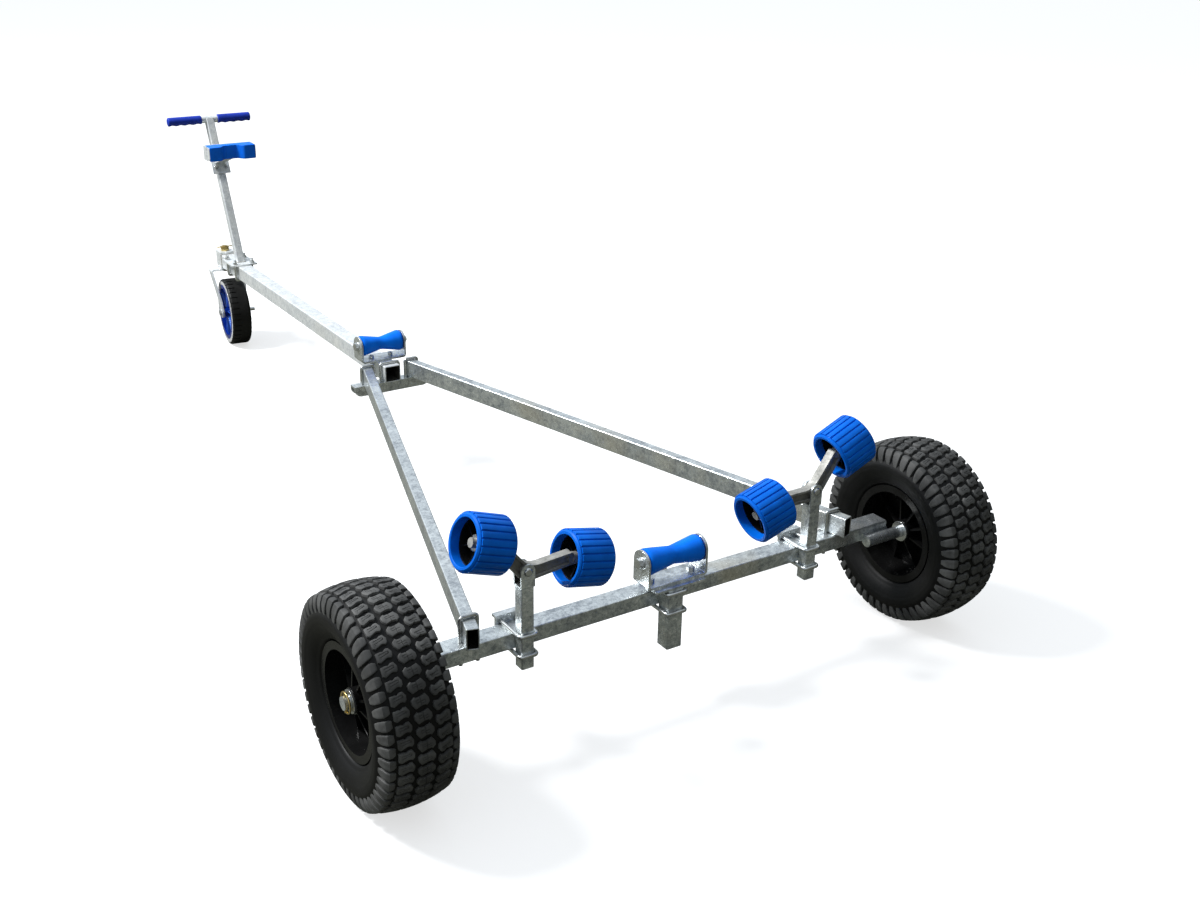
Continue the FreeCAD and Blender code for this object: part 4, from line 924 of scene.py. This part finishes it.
def as_object(name, builder):
    mesh = bpy.data.meshes.new(name)
    bmesh.ops.recalc_face_normals(builder, faces=builder.faces)
    builder.to_mesh(mesh)
    builder.free()
    helper = bpy.data.objects.new(name, mesh)
    bpy.context.scene.collection.objects.link(helper)
    return helper


def siped_block(outline, sipes, centre):
    """One block with its top edge rounded and its sipes cut, as a bmesh."""
    body = bmesh.new()
    top = slab(body, outline, -tread_high * 1000 - block_root, 0, block_flare)
    round_top(body, top, rubber_edge)
    block = as_object("block", body)
    blade = bmesh.new()
    for sipe in sipes:
        slab(blade, ribbon(sipe, sipe_wide), -sipe_deep, 2)
    cutter = as_object("cutter", blade)
    cut = block.modifiers.new("sipe", "BOOLEAN")
    cut.operation = "DIFFERENCE"
    cut.use_self = True
    cut.object = cutter
    shaped = block.evaluated_get(bpy.context.evaluated_depsgraph_get())
    result = bmesh.new()
    result.from_mesh(shaped.to_mesh())
    shaped.to_mesh_clear()
    bmesh.ops.translate(result, verts=result.verts, vec=Vector((*centre, 0)) / 1000)
    for helper in (block, cutter):
        bpy.data.objects.remove(helper)
    return result

# %% [markdown]
# Over the shoulders run lugs. A lug starts at the tread's edge with a round head, bends over
# the shoulder and thins out on the side. It is a flat tongue: a grid whose width and height
# follow two short lists.

# %% Make one shoulder lug
lug_start, lug_foot = 0.0525, crown_end + 0.040
lug_wide_shares = (0.50, 0.70, 0.76, 0.77, 0.75, 0.70, 0.62, 0.52, 0.40, 0.20)
lug_high_shares = (0.55, 0.96, 1.0, 1.0, 0.98, 0.92, 0.80, 0.62, 0.42, 0.18)
lug_lean = 0.10


def shoulder_lug(side):
    """A tongue of rubber over one shoulder, laid out flat."""
    builder = bmesh.new()
    steps = len(lug_wide_shares) - 1
    bmesh.ops.create_grid(builder, x_segments=steps, y_segments=4, size=0.5)
    for vert in builder.verts:
        step = round((vert.co.x + 0.5) * steps)
        across = lug_start + (lug_foot - lug_start) * step / steps
        along = vert.co.y * pitch * lug_wide_shares[step] + lug_lean * (across - lug_start)
        vert.co = Vector((side * across, side * along, 0))
        vert.co.z = tread_high * (lug_high_shares[step] - 1)
    flat_faces = list(builder.faces)
    walls = bmesh.ops.extrude_face_region(builder, geom=flat_faces)["geom"]
    sunk = [item for item in walls if isinstance(item, bmesh.types.BMVert)]
    bmesh.ops.translate(builder, verts=sunk, vec=-Z * (tread_high + 0.001))
    bmesh.ops.recalc_face_normals(builder, faces=builder.faces)
    edges = [edge for edge in builder.edges if edge.calc_face_angle(0) > math.radians(50)
             and max(vert.co.z for vert in edge.verts) > -tread_high * 0.9]
    bmesh.ops.bevel(builder, geom=edges, offset=rubber_edge * 1.3, segments=2, profile=0.5,
                    affect="EDGES", material=-1, clamp_overlap=True)
    return builder


print("a lug is", round((lug_foot - lug_start) * 1000), "mm long")

# %% [markdown]
# The casing below the tread is a body of revolution: its outline, sunk by the tread's depth
# and rising to the side's own surface at the lugs' feet, is spun right round. Two fine rings
# and a bead ridge stand on the side, as moulds leave them.

# %% Draw and spin the casing
side_fade, ring_high, ring_away, ring_wide = 0.016, 0.0007, 0.009, 0.0012
bead_high, bead_first, bead_last, casing_steps = 0.0014, 0.013, 0.006, 46
inner_wall = [(bead_across, bead_radius - 0.004), (bead_across - 0.006, bead_radius - 0.009)]


def casing_profile():
    """Places across and radii of one half of the casing, from the crown to the bead."""
    profile = []
    for k in range(casing_steps + 1):
        way = outline_end * k / casing_steps
        rise_share = min(max((way - lug_foot + side_fade) / side_fade, 0), 1)
        depth = tread_high * (1 - rise_share * rise_share * (3 - 2 * rise_share))
        ring = ring_high * (abs(way - lug_foot - ring_away) < ring_wide)
        bead = bead_high * (outline_end - bead_first < way < outline_end - bead_last)
        profile.append(on_tyre(way, ring + bead - depth))
    return profile + inner_wall


def spun_casing():
    """Spin both halves of the casing about the X axis."""
    profile = casing_profile()
    whole = [(-across, radius) for across, radius in profile[::-1]] + profile[1:]
    builder = bmesh.new()
    verts = [builder.verts.new((across, 0, radius)) for across, radius in whole]
    edges = [builder.edges.new(pair) for pair in zip(verts, verts[1:])]
    bmesh.ops.spin(builder, geom=verts + edges, cent=(0, 0, 0), axis=X, angle=math.tau,
                   steps=3 * tread_count, use_merge=True)
    return builder


print("points on one half of the casing:", len(casing_profile()))

# %% Roll the tread onto the casing
def tread_strips():
    """One of each block and lug, rolled onto the tyre, and how far each lags behind."""
    strips = []
    for outline, sipes, centre, lag in (
            (mid_block, [mid_sipe] + mid_cuts, (0, 0), 0.0),
            (side_block, [side_sipe], (-side_row, 0), 0.5)):
        block = siped_block(outline, sipes, centre)
        roll_onto_tyre(block)
        strips.append((block, lag))
        if centre[0]:
            other = block.copy()
            bmesh.ops.rotate(other, verts=other.verts, cent=(0, 0, 0),
                             matrix=Matrix.Rotation(math.pi, 3, "Z"))
            strips.append((other, lag))
    for side in (-1, 1):
        lug = shoulder_lug(side)
        roll_onto_tyre(lug)
        strips.append((lug, 0.0))
    return strips


def make_tyre(side_name, side):
    tread = bmesh.new()
    for strip, lag in tread_strips():
        for k in range(tread_count):
            add_mesh(tread, strip, math.tau * (k + lag) / tread_count)
        strip.free()
    # The casing's darker rubber is painted shade in the grooves between the blocks.
    for kind, part, finish in (("casing_", spun_casing(), casing_rubber),
                               ("tread_", tread, tread_rubber)):
        bmesh.ops.recalc_face_normals(part, faces=part.faces)
        bmesh.ops.translate(part, verts=part.verts, vec=(side * wheel_x, axle_y, wheel_radius))
        make_piece(kind + side_name, part, finish, "wheel_" + side_name,
                   ["tyre_" + side_name], crisp=40.0)


axle_y = (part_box("tyre_left")[0][1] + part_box("tyre_left")[1][1]) / 2
make_tyre("left", -1)
make_tyre("right", 1)

# %% [markdown]
# ## Floor and light
# The trolley was pictured outdoors: the sky lit it from above and from the left, and the
# ground behind it threw back little, so tops are bright and the faces turned to the camera
# are dark and a little olive. A plain white room would light every face alike. So the sky is
# pale blue overhead and dim behind the camera, and one large soft lamp stands high on the
# left. Only the camera sees the floor and the sky as white, which the Light Path node
# allows; metal and spread light meet their darker colours.

# %% Lay the floor
floor_half, floor_squares = 60.0, 8


def seen_directly(wiring):
    """1 for rays from the camera, and 0 for spread light and for mirror images."""
    return wiring.node("ShaderNodeLightPath", output="Is Camera Ray")


def stage_floor():
    builder = bmesh.new()
    bmesh.ops.create_grid(builder, x_segments=floor_squares, y_segments=floor_squares,
                          size=floor_half)
    mesh = bpy.data.meshes.new("studio_floor")
    builder.to_mesh(mesh)
    builder.free()
    floor = bpy.data.objects.new("studio_floor", mesh)
    bpy.context.scene.collection.objects.link(floor)
    finish = Finish("studio_floor")
    seen = seen_directly(finish)
    finish.set(Base_Color=finish.mix(seen, rgb(0.13, 0.13, 0.105), rgb(0.52, 0.52, 0.52)),
               Emission_Color=finish.mix(seen, rgb(0, 0, 0), rgb(0.66, 0.66, 0.66)),
               Emission_Strength=1.0, Roughness=0.95, Specular_IOR_Level=0.0)
    mesh.materials.append(finish.material)


stage_floor()
print("the floor's squares are", 2 * floor_half / floor_squares, "m wide")

# %% Colour the sky
sky_lean, sky_low, sky_high = (-0.35, 0.45, 0.9), -0.25, 0.75


def sky(overhead, behind):
    """A sky bright overhead and ahead, dim behind the camera, and white to the eye."""
    world = bpy.data.worlds.new("studio_sky")
    world.use_nodes = True
    bpy.context.scene.world = world
    wiring = Wiring(world.node_tree)
    way = wiring.node("ShaderNodeTexCoord", output="Generated")
    tilt = wiring.node("ShaderNodeVectorMath", {"operation": "DOT_PRODUCT"},
                       {0: way, 1: sky_lean}, "Value")
    share = wiring.node("ShaderNodeMapRange", {"interpolation_type": "SMOOTHSTEP"},
                        {"Value": tilt, "From Min": sky_low, "From Max": sky_high}, "Result")
    lit = wiring.mix(share, rgb(*behind), rgb(*overhead))
    shown = wiring.mix(seen_directly(wiring), lit, rgb(1.0, 1.0, 1.0))
    wiring.feed(wiring.tree.nodes["Background"].inputs["Color"], shown)
    return len(wiring.tree.nodes)


print("nodes in the sky:", sky(overhead=(0.66, 0.73, 0.80), behind=(0.155, 0.152, 0.125)))

# %% Hang the lamp
lamp_place, lamp_aim, lamp_size, lamp_power = (-3.6, 2.2, 5.4), (0, 0, 0.2), 1.8, 640
lamp_data = bpy.data.lights.new("key_lamp", "AREA")
lamp_data.shape = "DISK"
lamp_data.size = lamp_size
lamp_data.energy = lamp_power
key_lamp = bpy.data.objects.new("key_lamp", lamp_data)
key_lamp.location = lamp_place
aim = Vector(lamp_aim) - Vector(lamp_place)
key_lamp.rotation_euler = aim.to_track_quat("-Z", "Y").to_euler()
bpy.context.scene.collection.objects.link(key_lamp)
bpy.context.scene.view_settings.view_transform = "Standard"
print("the lamp hangs", round(aim.length, 1), "m away")
